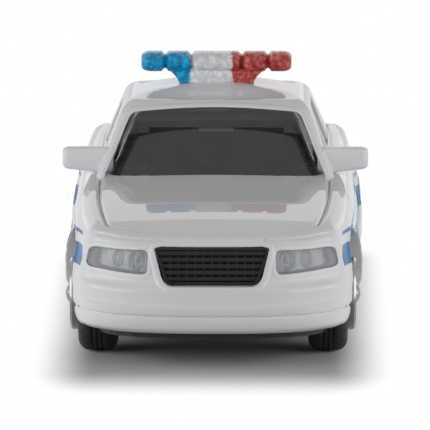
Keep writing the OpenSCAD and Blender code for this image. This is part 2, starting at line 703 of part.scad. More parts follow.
// Size of the section along the bar, as [distance from the middle, share of the full section]
end_round = pod_h / 3;
waist_l = 0.3;
function bar_scale(x) =
    let (u = abs(x),
        half = bar_l / 2,
        tip = (half - u) / end_round,
        near = min([for (k = [1, 2]) abs(u - pod_shares[k] * half)]) / waist_l)
    min(tip >= 1 ? 1 : mix(0.55, 1, sqrt(max(1 - (1 - tip) ^ 2, 0))),
        mix(waist_share, 1, ease(0.2, 1, near)));
bar_stations = let (half = bar_l / 2, ends = [for (k = [1, 2]) pod_shares[k] * half],
    right = concat(
        [half / 40, ends[0] / 2],
        [for (e = ends, k = [-1, -0.5, 0.5, 1]) e + k * waist_l],
        [for (k = [5:-1:0]) half - end_round * (1 - cos(18 * k))]))
    concat([for (k = [len(right) - 1:-1:0]) -right[k]], right);
module pods() {
    sides = 20;
    base = roof_h + foot_h + pod_h / 2;
    points = [for (x = bar_stations) let (k = bar_scale(x)) each [for (j = [0:sides - 1])
        let (a = 360 * j / sides, c = cos(a), s = sin(a))
        [x,
            bar_y + k * pod_d / 2 * sign(c) * abs(c) ^ (2 / bar_power),
            base + k * pod_h / 2 * sign(s) * abs(s) ^ (2 / bar_power)]]];
    faces = [for (i = [0:len(bar_stations) - 2], j = [0:sides - 1])
        let (a = i * sides + j, b = i * sides + (j + 1) % sides)
        each [[a, b + sides, b], [a, a + sides, b + sides]]];
    last = (len(bar_stations) - 1) * sides;
    ends = [[for (j = [0:sides - 1]) j], [for (j = [sides - 1:-1:0]) last + j]];
    polyhedron(points, concat(faces, ends), convexity = 6);
}
// The foot's outline, as shares of half the bar's length and of its rise, and its share of the pods' depth
foot_shares = [[-0.7, 1], [-0.53, 0], [0.53, 0], [0.7, 1]];
foot_depth_share = 0.76;
module light_bar() {
    rise = foot_h + pod_h / 3;
    color("#4f8fd0", 0.8) {
        pods();
        translate([0, bar_y + foot_depth_share * pod_d / 2, roof_h + fit / 2]) rotate([90, 0, 0])
            linear_extrude(foot_depth_share * pod_d)
                polygon([for (p = foot_shares) [p[0] * bar_l / 2, p[1] * rise]]);
        for (x = [-peg_x, peg_x]) translate([x, bar_y, roof_h - wall])
            cylinder(r = peg_d / 2, h = wall + foot_h, $fn = 32);
    }
}

// Front and rear inserts

slat_count = 5;
slat_t = 0.34;
rib_count = 13;
rib_t = 0.2;
module grille() {
    back_t = 0.5;
    rim = 0.28;
    color(plastic_black) {
        grille_prism(-fit, grille_front_y + grille_depth - back_t, back_t);
        translate([0, grille_front_y + grille_depth, 0]) rotate([90, 0, 0]) linear_extrude(grille_depth)
            difference() {
                grille_outline(-fit);
                grille_outline(-fit - rim);
            }
        intersection() {
            grille_prism(-fit, grille_front_y, grille_depth);
            for (k = [1:slat_count]) {
                z = mix(grille_low, grille_high, k / (slat_count + 1)) - slat_t / 2;
                translate([-grille_w / 2, grille_front_y + rib_t, z])
                    cube([grille_w, grille_depth - rib_t, slat_t]);
            }
        }
        intersection() {
            grille_prism(-fit, grille_front_y, grille_depth);
            for (k = [1:rib_count]) {
                x = mix(-grille_w / 2, grille_w / 2, k / (rib_count + 1)) - rib_t / 2;
                translate([x, grille_front_y + back_t, grille_low])
                    cube([rib_t, grille_depth - back_t, grille_high - grille_low]);
            }
        }
    }
}
lens_recess = 0.06;
reflector_t = 0.6;
module headlight_lens(side) {
    color("#d5dbe0", 0.7) headlight(side, lens_recess, wall);
}
module headlight_reflector(side) {
    color(steel) headlight(side, wall + fit, wall + fit + reflector_t);
}
module tail_lens(side) {
    color("#a5161a") tail_light(side, lens_recess, wall);
}

// Wheelsets

// Share of the tyre's width that the axle reaches into its disc
seat_share = 0.8;
module axle(y) {
    reach = tyre_in + seat_share * tyre_w;
    color(steel) translate([-reach, y, axle_h]) rotate([0, 90, 0])
        cylinder(r = axle_d / 2, h = 2 * reach, $fn = 48);
}
// Height of the disc's flange over the drum that carries the tyre
flange_h = 0.35;
rim_r = hub_d / 2;
drum_r = rim_r - flange_h;
// Section of a tyre as [radius, distance from its inner face]
function tyre_section() = concat(
    [[drum_r, 0]],
    arc(tyre_d / 2 - tyre_round, tyre_round, tyre_round, -90, 0, 6),
    arc(tyre_d / 2 - tyre_round, tyre_w - tyre_round, tyre_round, 0, 90, 6),
    [[drum_r, tyre_w]]);
module tyre(side, y) {
    color(plastic_black) translate([side * tyre_in, y, axle_h]) rotate([0, side * 90, 0])
        rotate_extrude($fn = 72) polygon(tyre_section());
}
vent_count = 10;
vent_r = 0.36;
// Depth of the cap's centre below its edge, as a share of its radius
cap_share = 0.4;
cap_angle = atan(cap_share);
// Section of a wheel disc as [radius, distance from the tyre's inner face]: drum, rim flange, dish and cap
module wheel_disc(side, y) {
    face = tyre_w + hub_proud;
    edge_w = 0.4;
    dish_d = 0.45;
    cap_r = 1.4;
    dish_r = rim_r - edge_w;
    vent_at = mix(cap_r, dish_r, 0.58);
    color(steel) translate([side * tyre_in, y, axle_h]) rotate([0, side * 90, 0]) difference() {
        rotate_extrude($fn = 72) polygon(concat(
            [[0, 0], [drum_r, 0], [drum_r, tyre_w], [rim_r, tyre_w], [rim_r, face - edge_w / 2],
                [rim_r - edge_w / 2, face], [dish_r, face], [dish_r - edge_w / 2, face - dish_d],
                [cap_r, face - dish_d]],
            arc(0, face - dish_d - cap_share * cap_r, norm([1, cap_share]) * cap_r, cap_angle, 90, 6)));
        translate([0, 0, -over]) cylinder(r = axle_d / 2, h = over + seat_share * tyre_w, $fn = 48);
        for (k = [0:vent_count - 1]) rotate([0, 0, 360 * k / vent_count])
            translate([vent_at, 0, face - 2 * dish_d]) cylinder(r = vent_r, h = 2 * dish_d, $fn = 24);
    }
}
module rivet(y) {
    color(steel) translate([0, y, base_h]) {
        cylinder(r = rivet_head_r, h = rivet_head_t, $fn = 32);
        cylinder(r = rivet_d / 2, h = base_t + rivet_grip, $fn = 32);
    }
}

body_shell();
window_moulding();
interior_tub();
base_plate();
light_bar();
grille();
headlight_lens(1);  // headlight_lens_left
headlight_lens(-1);  // headlight_lens_right
headlight_reflector(1);  // headlight_reflector_left
headlight_reflector(-1);  // headlight_reflector_right
tail_lens(1);  // tail_light_left
tail_lens(-1);  // tail_light_right
axle(front_axle_y);  // front_axle
axle(rear_axle_y);  // rear_axle
wheel_disc(1, front_axle_y);  // wheel_disc_front_left
wheel_disc(-1, front_axle_y);  // wheel_disc_front_right
wheel_disc(1, rear_axle_y);  // wheel_disc_rear_left
wheel_disc(-1, rear_axle_y);  // wheel_disc_rear_right
tyre(1, front_axle_y);  // tyre_front_left
tyre(-1, front_axle_y);  // tyre_front_right
tyre(1, rear_axle_y);  // tyre_rear_left
tyre(-1, rear_axle_y);  // tyre_rear_right
rivet(front_post_y);  // front_rivet
rivet(rear_post_y);  // rear_rivet
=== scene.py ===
import math

import bmesh
import bpy
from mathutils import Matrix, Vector
from mathutils.bvhtree import BVHTree

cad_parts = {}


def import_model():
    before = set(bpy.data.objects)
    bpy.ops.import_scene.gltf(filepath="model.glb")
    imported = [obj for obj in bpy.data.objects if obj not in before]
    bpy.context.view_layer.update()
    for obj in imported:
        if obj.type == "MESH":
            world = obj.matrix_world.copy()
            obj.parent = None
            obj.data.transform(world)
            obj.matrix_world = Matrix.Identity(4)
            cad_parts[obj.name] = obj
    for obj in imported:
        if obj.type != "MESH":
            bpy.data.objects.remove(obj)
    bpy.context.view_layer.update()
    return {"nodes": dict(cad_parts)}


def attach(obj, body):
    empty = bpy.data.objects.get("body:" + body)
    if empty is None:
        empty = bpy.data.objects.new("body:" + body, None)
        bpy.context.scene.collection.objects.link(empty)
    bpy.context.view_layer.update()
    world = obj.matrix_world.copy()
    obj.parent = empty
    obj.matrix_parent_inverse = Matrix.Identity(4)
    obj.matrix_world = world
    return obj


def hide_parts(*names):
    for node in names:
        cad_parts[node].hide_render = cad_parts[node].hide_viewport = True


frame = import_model()

# Sizes of the car in millimetres: +Z up, nose along -Y, +X the car's left
MM = 0.001
BODY_L, BODY_W = 80.0, 30.0
NOSE_Y, TAIL_Y = -BODY_L / 2, BODY_L / 2
SILL_H, NOSE_H, COWL_H, BOOT_H, TAIL_H = 3.6, 13.3, 15.5, 16.1, 15.5
WALL, EDGE_IN, CROWN = 1.1, 3.2, 0.5
SEAM_W, SEAM_D = 0.3, 0.28
ROOF_H, EAVE_H, ROOF_EDGE = 23.5, 22.4, 0.9
CABIN_W, ROOF_W = 25.8, 18.7
SCREEN_Y, HEADER_Y = NOSE_Y + 26.5, NOSE_Y + 38
REAR_HEADER_Y, REAR_FOOT_Y = TAIL_Y - 23, TAIL_Y - 12.5
PILLAR_Y, PILLAR_W, BAR_Y = HEADER_Y + 4, 1.5, HEADER_Y + 8.5
CABIN_FOOT_H = COWL_H - 2 * WALL
BELT_H, WINDOW_TOP_H, SCREEN_TOP_H, SCREEN_ARCH = 16.5, 21.3, EAVE_H - 1, 0.5
WINDOW_ROUND = 0.55
FRONT_AXLE_Y, REAR_AXLE_Y = NOSE_Y + 15, NOSE_Y + 59
AXLES_Y = FRONT_AXLE_Y, REAR_AXLE_Y
TYRE_D, TYRE_W, TRACK, HUB_D = 11.5, 4.0, 23.0, 7.3
AXLE_H, ARCH_R = TYRE_D / 2, TYRE_D / 2 + 0.8
TYRE_IN = (TRACK - TYRE_W) / 2
WELL_X, WELL_BORE = TYRE_IN - 0.25, 1.5
STRIPES, STRIPE_ENDS, STRIPE_X = ((9.6, 11.5), (12.3, 12.6)), (-33.0, 35.0), 12.9
GRILLE_W, GRILLE_FOOT_W, GRILLE_LOW, GRILLE_HIGH, GRILLE_D = 11.5, 9.6, 8.35, 12.2, 2.2
# Lamps: where they begin and end across, the height shares of foot and top, and the taper
HEADLIGHT, TAIL_LIGHT = (7.35, 14.4, 0.6, 0.85, 0.8), (6.4, 14.4, 0.58, 0.84, 0.94)
LAMP_ROUND, LAMP_D = 0.7, 0.9
SCREEN_FOOT_W, SCREEN_TOP_W, REAR_FOOT_W, REAR_TOP_W = 23.8, 17.4, 20.6, 16.2
DOOR_FRONT_Y = FRONT_AXLE_Y + ARCH_R + 1.6
DOOR_REAR_Y = REAR_AXLE_Y - ARCH_R - 0.8
DOOR_LINES_Y = DOOR_FRONT_Y, PILLAR_Y, DOOR_REAR_Y
DOOR_LOW_SHARE = 0.2
LID_SHARE, LID_SEAM_W = 0.925, 0.36
BAR_L, POD_H, POD_D, FOOT_H = 15.6, 2.1, 3.6, 1.0

# Meshes: the skin's spacing, its height on the flank and at the lamps, the distance that is merged,
# how far outside an opening the skin is cut under the lip, and places clear of the car
CELL, SKIN_H, LAMP_SKIN_H, MERGE, CUT_MARGIN = 0.3, 11.5, 11.0, 0.004, 0.2
CLEAR_X, CLEAR_Y = 40, 70


# Curves and outlines

def mix(a, b, share):
    return a + (b - a) * share


def ease(low, high, x):
    """A smooth step from 0 at low to 1 at high, either way round."""
    u = min(max((x - low) / (high - low), 0), 1)
    return u * u * (3 - 2 * u)


def bulge(value, power):
    """A power that keeps the sign, for rounded sections."""
    return math.copysign(abs(value) ** power, value)


def turn(count):
    angles = [2 * math.pi * k / count for k in range(count)]
    return [(math.cos(a), math.sin(a)) for a in angles]


def smooth_table(rows):
    """A curve through rows of (place, value) that never overshoots them."""
    xs = [r[0] for r in rows]
    ys = [r[1] for r in rows]
    steps = [(ys[i + 1] - ys[i]) / (xs[i + 1] - xs[i]) for i in range(len(xs) - 1)]
    slopes = [steps[0]]
    for a, b in zip(steps, steps[1:]):
        slopes.append(0 if a * b <= 0 else 2 * a * b / (a + b))
    slopes.append(steps[-1])

    def value(x):
        i = 0
        while i < len(xs) - 2 and x > xs[i + 1]:
            i += 1
        h = xs[i + 1] - xs[i]
        u = min(max((x - xs[i]) / h, 0), 1)
        return (ys[i] * (2 * u ** 3 - 3 * u ** 2 + 1) + slopes[i] * h * (u ** 3 - 2 * u ** 2 + u)
                + ys[i + 1] * (3 * u ** 2 - 2 * u ** 3) + slopes[i + 1] * h * (u ** 3 - u ** 2))
    return value


def plan_point(outline, t):
    """A point of half a plan: round the front up to t = 1, along the side to 2 and round the rear to 3."""
    front, rear, front_bow, rear_bow, half, power = outline
    k = 2 / power
    if t < 1:
        a = math.radians(90 * t)
        return half * math.sin(a) ** k, front + front_bow * (1 - max(math.cos(a), 0) ** k)
    if t <= 2:
        return half, mix(front + front_bow, rear - rear_bow, t - 1)
    a = math.radians(90 * (3 - t))
    return half * max(math.sin(a), 0) ** k, rear - rear_bow * (1 - max(math.cos(a), 0) ** k)


def plan_inside(outline, deep):
    front, rear, front_bow, rear_bow, half, power = outline
    return front + deep, rear - deep, front_bow, rear_bow, half - deep, power


def plan_inward(outline, t):
    step = 0.02
    ax, ay = plan_point(outline, max(t - step, 0))
    bx, by = plan_point(outline, min(t + step, 3))
    length = math.hypot(bx - ax, by - ay)
    return -(by - ay) / length, (bx - ax) / length


def even_places(outline, extra=()):
    """Places along a plan's t at even distances, with extra places among them."""
    count = 3000
    ts = [3 * i / count for i in range(count + 1)]
    far = [0.0]
    last = plan_point(outline, 0)
    for t in ts[1:]:
        here = plan_point(outline, t)
        far.append(far[-1] + math.dist(last, here))
        last = here
    steps = round(far[-1] / CELL)
    places = []
    i = 0
    for k in range(steps + 1):
        goal = far[-1] * k / steps
        while i < count and far[i] < goal:
            i += 1
        places.append(ts[i])
    return sorted(set(places) | set(extra))


def rounded(corners, radii, spacing=0.25):
    """A closed outline through corners, rounded by one radius or one for each, with even straight runs."""
    count, arcs, most = len(corners), 8, 0.45
    if isinstance(radii, float):
        radii = [radii] * count
    cut = []
    for i in range(count):
        a, b, c = (Vector(corners[(i + k) % count]) for k in (-1, 0, 1))
        u, v = (a - b).normalized(), (c - b).normalized()
        half = u.angle(v) / 2
        reach = min(radii[i] / math.tan(half), (a - b).length * most, (c - b).length * most)
        cut.append((b + u * reach, b, b + v * reach))
    points = []
    for i in range(count):
        p, b, q = cut[i]
        for k in range(arcs + 1):
            s = k / arcs
            points.append(p * (1 - s) ** 2 + b * 2 * s * (1 - s) + q * s * s)
        following = cut[(i + 1) % count][0]
        runs = int((following - q).length / spacing)
        for k in range(1, runs):
            points.append(q.lerp(following, k / runs))
    return [tuple(p) for p in points]


def inside(outline, x, y):
    hit = False
    for (ax, ay), (bx, by) in zip(outline, outline[1:] + outline[:1]):
        if (ay > y) != (by > y) and x < ax + (bx - ax) * (y - ay) / (by - ay):
            hit = not hit
    return hit


def grow(outline, margin, stretch=1.0):
    """An outline moved outwards, where the second coordinate's unit is 1 / stretch millimetres."""
    count = len(outline)
    points = []
    for i in range(count):
        (ax, ay), (bx, by) = outline[i - 1], outline[(i + 1) % count]
        dx, dy = bx - ax, (by - ay) / stretch
        length = math.hypot(dx, dy) or 1
        points.append((outline[i][0] + dy / length * margin, outline[i][1] - dx / length * margin * stretch))
    return points


# The lower body's skin, by the same rule as the casting's

# Front, rear, the bows of both, half the width and the bows' power. The ends lie just inside the box
SKIN_IN = 0.05
BODY_PLAN = (NOSE_Y + SKIN_IN, TAIL_Y - SKIN_IN, 10.0, 7.0, BODY_W / 2, 2.6)
# Shares of the length and of the width
WIDTH_SHARES = (
    (0, 0.9), (0.1, 0.915), (0.17, 0.955), (0.25, 0.985), (0.35, 0.995), (0.55, 1), (0.75, 1), (0.9, 0.985),
    (1, 0.96))
# Share of the height, and the shares of EDGE_IN by which flank, nose and tail stand in there
PROFILE_SHARES = (
    (0, 0.31, 0.44, 0.41), (0.05, 0.16, 0.16, 0.15), (0.165, 0.08, 0.05, 0.06), (0.185, 0.15, 0.11, 0.1),
    (0.205, 0.06, 0.04, 0.05), (0.28, 0.03, 0, 0), (0.3, 0.03, 0.08, 0.07), (0.45, 0.02, 0.07, 0.05),
    (0.52, 0.05, 0.3, 0.28), (0.6, 0.09, 0.345, 0.31), (0.72, 0.19, 0.39, 0.345), (0.85, 0.29, 0.475, 0.395),
    (0.925, 0.38, 0.585, 0.475), (0.945, 0.42, 0.71, 0.58), (0.965, 0.48, 0.685, 0.55),
    (1, 0.72, 0.97, 0.84))
flank_share, nose_share, tail_share = (
    smooth_table([(r[0], r[c]) for r in PROFILE_SHARES]) for c in (1, 2, 3))
width_share = smooth_table(WIDTH_SHARES)
deck = smooth_table((
    (NOSE_Y, NOSE_H - CROWN), (NOSE_Y + EDGE_IN, NOSE_H),
    (mix(NOSE_Y + EDGE_IN, SCREEN_Y, 0.3), mix(NOSE_H, COWL_H, 0.4)),
    (mix(NOSE_Y + EDGE_IN, SCREEN_Y, 0.65), mix(NOSE_H, COWL_H, 0.76)),
    (SCREEN_Y, COWL_H), (REAR_FOOT_Y, BOOT_H),
    (mix(REAR_FOOT_Y, TAIL_Y, 0.45), mix(BOOT_H, TAIL_H, 0.1)), (TAIL_Y - EDGE_IN, TAIL_H),
    (TAIL_Y, TAIL_H - CROWN)))
# How far the arches stand out, and the distance over which they do
FLARE, FLARE_REACH = 0.25, 1.8
# Parts of the inward direction between which a station turns into nose or tail, and into flank
END_TURN, SIDE_TURN = (0.2, 0.75), (0.3, 0.8)
# The edge lines of bonnet and boot lid fade out between these places
BONNET_ENDS, BOOT_ENDS = (NOSE_Y + 3.4, NOSE_Y + 7), (TAIL_Y - 3.4, TAIL_Y - 6)


def deck_h(x, y):
    return deck(y) - CROWN * (2 * x / BODY_W) ** 2


def arch_flare(y, z):
    far = min(math.hypot(y - a, z - AXLE_H) for a in AXLES_Y)
    return FLARE * max(0, 1 - abs(far - ARCH_R) / FLARE_REACH) ** 2


def groove(distance, width=SEAM_W, depth=SEAM_D):
    """The depth of an engraved line at a distance from its middle."""
    return depth * math.exp(-(distance / (0.5 * width)) ** 2)


class Station:
    """One place round the body's plan, with the weights of nose and tail there."""

    def __init__(self, t):
        self.across, self.y = plan_point(BODY_PLAN, t)
        self.inward = plan_inward(BODY_PLAN, t)
        self.nose = ease(*END_TURN, self.inward[1])
        self.tail = ease(*END_TURN, -self.inward[1])
        self.side = ease(*SIDE_TURN, abs(self.inward[0]))
        self.x = self.across * width_share((self.y - NOSE_Y) / BODY_L)
        self.edge = self.ring(1)
        self.top = deck_h(*self.edge)

    def ring(self, s, deep=0):
        inset = EDGE_IN * (flank_share(s) * (1 - self.nose - self.tail) + nose_share(s) * self.nose
                           + tail_share(s) * self.tail) + deep
        return self.x + self.inward[0] * inset, self.y + self.inward[1] * inset

    def point(self, s, deep=0, lines=True):
        """The skin's point at a height share, with the arches' flare and the door lines."""
        z = mix(SILL_H, self.top, s)
        x, y = self.ring(s)
        deep -= arch_flare(y, z) * self.side
        if lines and self.side > 0.5:
            soft = 0.02
            door = max(groove(y - d) for d in DOOR_LINES_Y)
            deep += door * ease(DOOR_LOW_SHARE - soft, DOOR_LOW_SHARE + soft, s)
            if DOOR_FRONT_Y < y < DOOR_REAR_Y:
                deep += groove((s - DOOR_LOW_SHARE) * (self.top - SILL_H))
        x, y = self.ring(s, deep)
        return x, y, z


def fine_places(middle):
    reach, count = 0.55, 12
    return [middle + reach * (2 * k / count - 1) for k in range(count + 1)]


def flank_place(y):
    return 1 + (y - NOSE_Y - BODY_PLAN[2]) / (BODY_L - BODY_PLAN[2] - BODY_PLAN[3])


def body_stations():
    extra = [t for y in DOOR_LINES_Y for t in map(flank_place, fine_places(y))]
    return [Station(t) for t in even_places(BODY_PLAN, extra)]


def body_rows():
    """Height shares of the skin's rows, close together at the foot of the doors."""
    spacing, fewest = 0.28, 3
    rows = {0.0, 1.0}
    for (a, *_), (b, *_) in zip(PROFILE_SHARES, PROFILE_SHARES[1:]):
        count = max(fewest, round((b - a) * SKIN_H / spacing))
        rows |= {mix(a, b, k / count) for k in range(count)}
    rows |= {DOOR_LOW_SHARE + d / SKIN_H for d in (-0.3, -0.2, -0.1, 0, 0.1, 0.2, 0.3)}
    return sorted(rows)


# Meshes

def add_grid(mesh, rows, close=False):
    """Faces between rows of points in millimetres."""
    verts = [[mesh.verts.new(Vector(p) * MM) for p in row] for row in rows]
    for a, b in zip(verts, verts[1:]):
        count = len(a) if close else len(a) - 1
        for i in range(count):
            j = (i + 1) % len(a)
            mesh.faces.new((a[i], a[j], b[j], b[i]))
    return verts


def drop_faces(mesh, test):
    """Deletes the faces whose middle, in millimetres, passes the test."""
    gone = [f for f in mesh.faces if test(*(f.calc_center_median() / MM))]
    bmesh.ops.delete(mesh, geom=gone, context="FACES")


def make_object(name, mesh, sharp=40):
    """A linked object of a mesh, smooth but for edges over an angle."""
    bmesh.ops.remove_doubles(mesh, verts=mesh.verts, dist=MERGE * MM)
    bmesh.ops.recalc_face_normals(mesh, faces=mesh.faces)
    data = bpy.data.meshes.new(name)
    mesh.to_mesh(data)
    mesh.free()
    data.shade_smooth()
    data.set_sharp_from_angle(angle=math.radians(sharp))
    piece = bpy.data.objects.new(name, data)
    bpy.context.collection.objects.link(piece)
    return piece


def mirrored(row):
    """A whole row from its half with x > 0 that starts and ends in the middle."""
    return row + [(-x, y, z) for x, y, z in row[-2:0:-1]]


def flank_skin(stations):
    """Nose, flanks and tail. Points keep their distance across and their height share."""
    hem_h = 2
    sides = bmesh.new()
    across_layer = sides.verts.layers.float.new("across")
    share_layer = sides.verts.layers.float.new("share")
    shares = body_rows()
    rows = [[(*s.ring(0, WALL), SILL_H + up) for s in stations] for up in (hem_h, 0)]
    rows += [[s.point(share) for s in stations] for share in shares]
    plan_x = mirrored([(s.across, 0, 0) for s in stations])
    verts = add_grid(sides, [mirrored(r) for r in rows], close=True)
    for share, row in zip([0, 0] + shares, verts):
        for vert, (x, _, _) in zip(row, plan_x):
            vert[across_layer] = abs(x)
            vert[share_layer] = share
    return sides


def deck_skin(stations):
    """Bonnet, cowl and boot lid from side to side, with the lids' edges engraved."""
    count, fine = 34, (0, 0.0125, 0.025, 0.035, 0.045)
    lines = {LID_SHARE + way * d for d in fine for way in (-1, 1)}
    across = sorted({k / count for k in range(count + 1)} | lines)
    across = [-f for f in across[:0:-1]] + across
    rows = []
    for station in stations:
        x, y = station.edge
        run = ease(*BONNET_ENDS, y) * ease(*BOOT_ENDS, y)
        row = []
        for f in across:
            line = run * groove((abs(f) - LID_SHARE) * x, LID_SEAM_W)
            row.append((x * f, y, deck_h(x * f, y) - line))
        rows.append(row)
    top = bmesh.new()
    add_grid(top, rows)
    return top


# The cabin's skin

FOOT_PLAN = (SCREEN_Y, REAR_FOOT_Y, 3.4, 3.0, CABIN_W / 2, 3.2)
ROOF_PLAN = (HEADER_Y, REAR_HEADER_Y, 1.8, 1.6, ROOF_W / 2, 3.2)
roof_round = smooth_table(((0, 0), (0.9, 0), (0.96, 0.3), (1, 0.8)))
# The roof falls to the eaves between these distances from a header, and to the sides by a power
ROOF_FALL, HEADER_RIM, ROOF_POWER = 6.0, 0.7, 2.2
# Height shares where the walls' close rows begin, and where the painted and the clear skin start
SHOULDER, CABIN_LOW, DOME_LOW = 0.88, 0.02, 0.1
# The clear moulding's gap to the shell, and that of the deck's hole to the cabin's wall
DOME_GAP, HOLE_GAP = 0.14, 0.15


def roof_h(f, y):
    """The roof's height at a share f of its half width, falling to the eaves over both screens."""
    front = ease(HEADER_Y + HEADER_RIM, HEADER_Y + ROOF_FALL, y)
    rear = ease(REAR_HEADER_Y - HEADER_RIM, REAR_HEADER_Y - ROOF_FALL, y)
    return mix(EAVE_H, ROOF_H, (1 - abs(f) ** ROOF_POWER) * (front * rear))


def cabin_share(z):
    return (z - CABIN_FOOT_H) / (EAVE_H - CABIN_FOOT_H)


def cabin_point(t, s, deep):
    """The cabin wall's point at a place on the plan and a height share, moved inwards."""
    inset = deep + ROOF_EDGE * roof_round(s)
    foot = plan_point(plan_inside(FOOT_PLAN, inset), t)
    top = plan_point(plan_inside(ROOF_PLAN, inset), t)
    return mix(foot[0], top[0], s), mix(foot[1], top[1], s), mix(CABIN_FOOT_H, EAVE_H - deep, s)


def add_cabin(mesh, deep, low):
    """Walls from the height share low up, and the roof."""
    walls, shoulders, half_roof = 26, 12, 24
    places = even_places(FOOT_PLAN)
    shares = [mix(low, SHOULDER, k / walls) for k in range(walls + 1)]
    shares += [SHOULDER + (1 - SHOULDER) * k / shoulders for k in range(1, shoulders + 1)]
    add_grid(mesh, [mirrored([cabin_point(t, s, deep) for t in places]) for s in shares], close=True)
    across = [math.sin(math.radians(90 * k / half_roof)) for k in range(-half_roof, half_roof + 1)]
    rows = []
    for t in places:
        x, y, _ = cabin_point(t, 1, deep)
        rows.append([(x * f, y, roof_h(f, y) - deep) for f in across])
    add_grid(mesh, rows)


def cabin_ring(z, deep):
    count = 120
    half = [cabin_point(3 * k / count, cabin_share(z), deep)[:2] for k in range(count + 1)]
    return half + [(-x, y) for x, y in half[-2:0:-1]]


def pillar_line(t, z):
    return mix(plan_point(FOOT_PLAN, t)[1], plan_point(ROOF_PLAN, t)[1], cabin_share(z))


def window_dome():
    mesh = bmesh.new()
    add_cabin(mesh, WALL + DOME_GAP, DOME_LOW)
    return make_object("window_tint", mesh, sharp=60)


# Openings: each is an outline on the skin, and a swept lip covers the cut edge

# Lips from their outer edge, under the skin, to the opening: (outwards, up)
SCREEN_LIP = (
    (0.85, -0.06), (0.75, 0.005), (0.5, 0.03), (0.25, 0.045), (0.07, 0.03), (0.0, -0.03), (-0.02, -0.12))
WINDOW_LIP = (
    (0.6, -0.06), (0.5, 0.005), (0.34, 0.03), (0.18, 0.045), (0.05, 0.03), (0.0, -0.03), (-0.02, -0.12))
GRILLE_LIP = (
    (0.8, -0.08), (0.7, 0.02), (0.5, 0.1), (0.3, 0.13), (0.12, 0.12), (0.02, 0.05), (0.0, -0.06))
LAMP_LIP = (
    (0.62, -0.05), (0.52, 0.005), (0.32, 0.03), (0.14, 0.03), (0.03, 0.0), (0.0, -0.06), (-0.01, -0.14))
ARCH_LIP = (
    (0.7, -0.08), (0.58, 0.005), (0.38, 0.05), (0.2, 0.07), (0.07, 0.05), (0.0, -0.02), (-0.02, -0.14))


def skin_tree(mesh):
    mesh.verts.index_update()
    points = [v.co / MM for v in mesh.verts]
    return BVHTree.FromPolygons(points, [[v.index for v in f.verts] for f in mesh.faces])


def ray_hit(search, start, way):
    """Where a ray meets a skin, and the skin's normal towards the ray's start."""
    point, normal, _, _ = search.ray_cast(Vector(start), Vector(way))
    return point, normal if normal.dot(Vector(way)) < 0 else -normal


def sweep_lip(mesh, search, path, section, reveal, closed=True):
    """Sweeps (outwards, up) offsets along (point, normal) pairs, down to the reveal."""
    count, on_skin = len(path), 0.02
    middle = sum((p for p, _ in path), Vector()) / count
    rows = []
    for i, (p, n) in enumerate(path):
        if closed:
            along = path[(i + 1) % count][0] - path[i - 1][0]
        else:
            along = path[min(i + 1, count - 1)][0] - path[max(i - 1, 0)][0]
        side = along.cross(n).normalized()
        if side.dot(p - middle) < 0:
            side = -side
        row = []
        for out, up in section:
            place, facing = p + side * out, n
            if out > on_skin:
                place, facing, _, _ = search.find_nearest(place)
                facing = facing if facing.dot(n) > 0 else -facing
            row.append(place + facing * up)
        rows.append(row + [reveal(p)])
    columns = [[tuple(row[k]) for row in rows] for k in range(len(rows[0]))]
    add_grid(mesh, columns, close=closed)


def screen_outline(foot_w, top_w, foot_z):
    half, top, steps = foot_w / 2, top_w / 2, 6
    arch = []
    for k in range(steps, -steps - 1, -1):
        arch.append((top * k / steps, SCREEN_TOP_H + SCREEN_ARCH * (1 - (k / steps) ** 2)))
    return rounded([(-half, foot_z), (half, foot_z)] + arch, 2 * WINDOW_ROUND)


def side_outlines():
    front_post, rear_post, quarter_bar = 1.5, 4.2, 0.9
    low, high = BELT_H, WINDOW_TOP_H
    front = [pillar_line(1, z) + front_post for z in (low, high)]
    rear = [pillar_line(2, z) - rear_post for z in (low, high)]
    before, after = PILLAR_Y - PILLAR_W / 2, PILLAR_Y + PILLAR_W / 2
    quarter = mix(PILLAR_Y, rear[0], 0.74)
    peak = mix(quarter, rear[1], 0.45) + quarter_bar, mix(low, high, 0.8)
    windows = (
        ((front[0], low), (before, low), (before, high), (front[1], high)),
        ((after, low), (quarter, low), (mix(quarter, rear[1], 0.6), high), (after, high)),
        ((quarter + quarter_bar, low), (rear[0], low), peak))
    return [rounded(w, WINDOW_ROUND) for w in windows]


def grille_outline():
    top, foot, top_round, foot_round = GRILLE_W / 2, GRILLE_FOOT_W / 2, 0.75, 1.4
    corners = [(-foot, GRILLE_LOW), (foot, GRILLE_LOW), (top, GRILLE_HIGH), (-top, GRILLE_HIGH)]
    return rounded(corners, (foot_round, foot_round, top_round, top_round))


def nose_place(x):
    return math.asin(min((x / (BODY_W / 2)) ** (BODY_PLAN[5] / 2), 1)) / (math.pi / 2)


def plan_run(tail):
    """A table from the distance across an end to the distance round the plan from its middle."""
    count = 100
    rows = [(0.0, 0.0)]
    last = plan_point(BODY_PLAN, 3 if tail else 0)
    for k in range(1, count + 1):
        here = plan_point(BODY_PLAN, 3 - k / count if tail else k / count)
        rows.append((here[0], rows[-1][1] + math.dist(last, here)))
        last = here
    return smooth_table(rows)


def lamp_outline(tail):
    """A lamp's outline as (distance across, height share)."""
    from_x, to_x, low, high, taper = TAIL_LIGHT if tail else HEADLIGHT
    middle, half = (low + high) / 2, (high - low) / 2
    shares = ((from_x, middle - half), (to_x, middle - half * taper),
              (to_x, middle + half * taper), (from_x, middle + half))
    outline = rounded([(x, s * LAMP_SKIN_H) for x, s in shares], LAMP_ROUND, 0.2)
    return [(x, z / LAMP_SKIN_H) for x, z in outline]


def lamp_point(x, s, side, tail, deep=0):
    """The plain skin's point at a distance across and a height share."""
    t = nose_place(x)
    px, py, pz = Station(3 - t if tail else t).point(s, deep, lines=False)
    return Vector((side * px, py, pz))


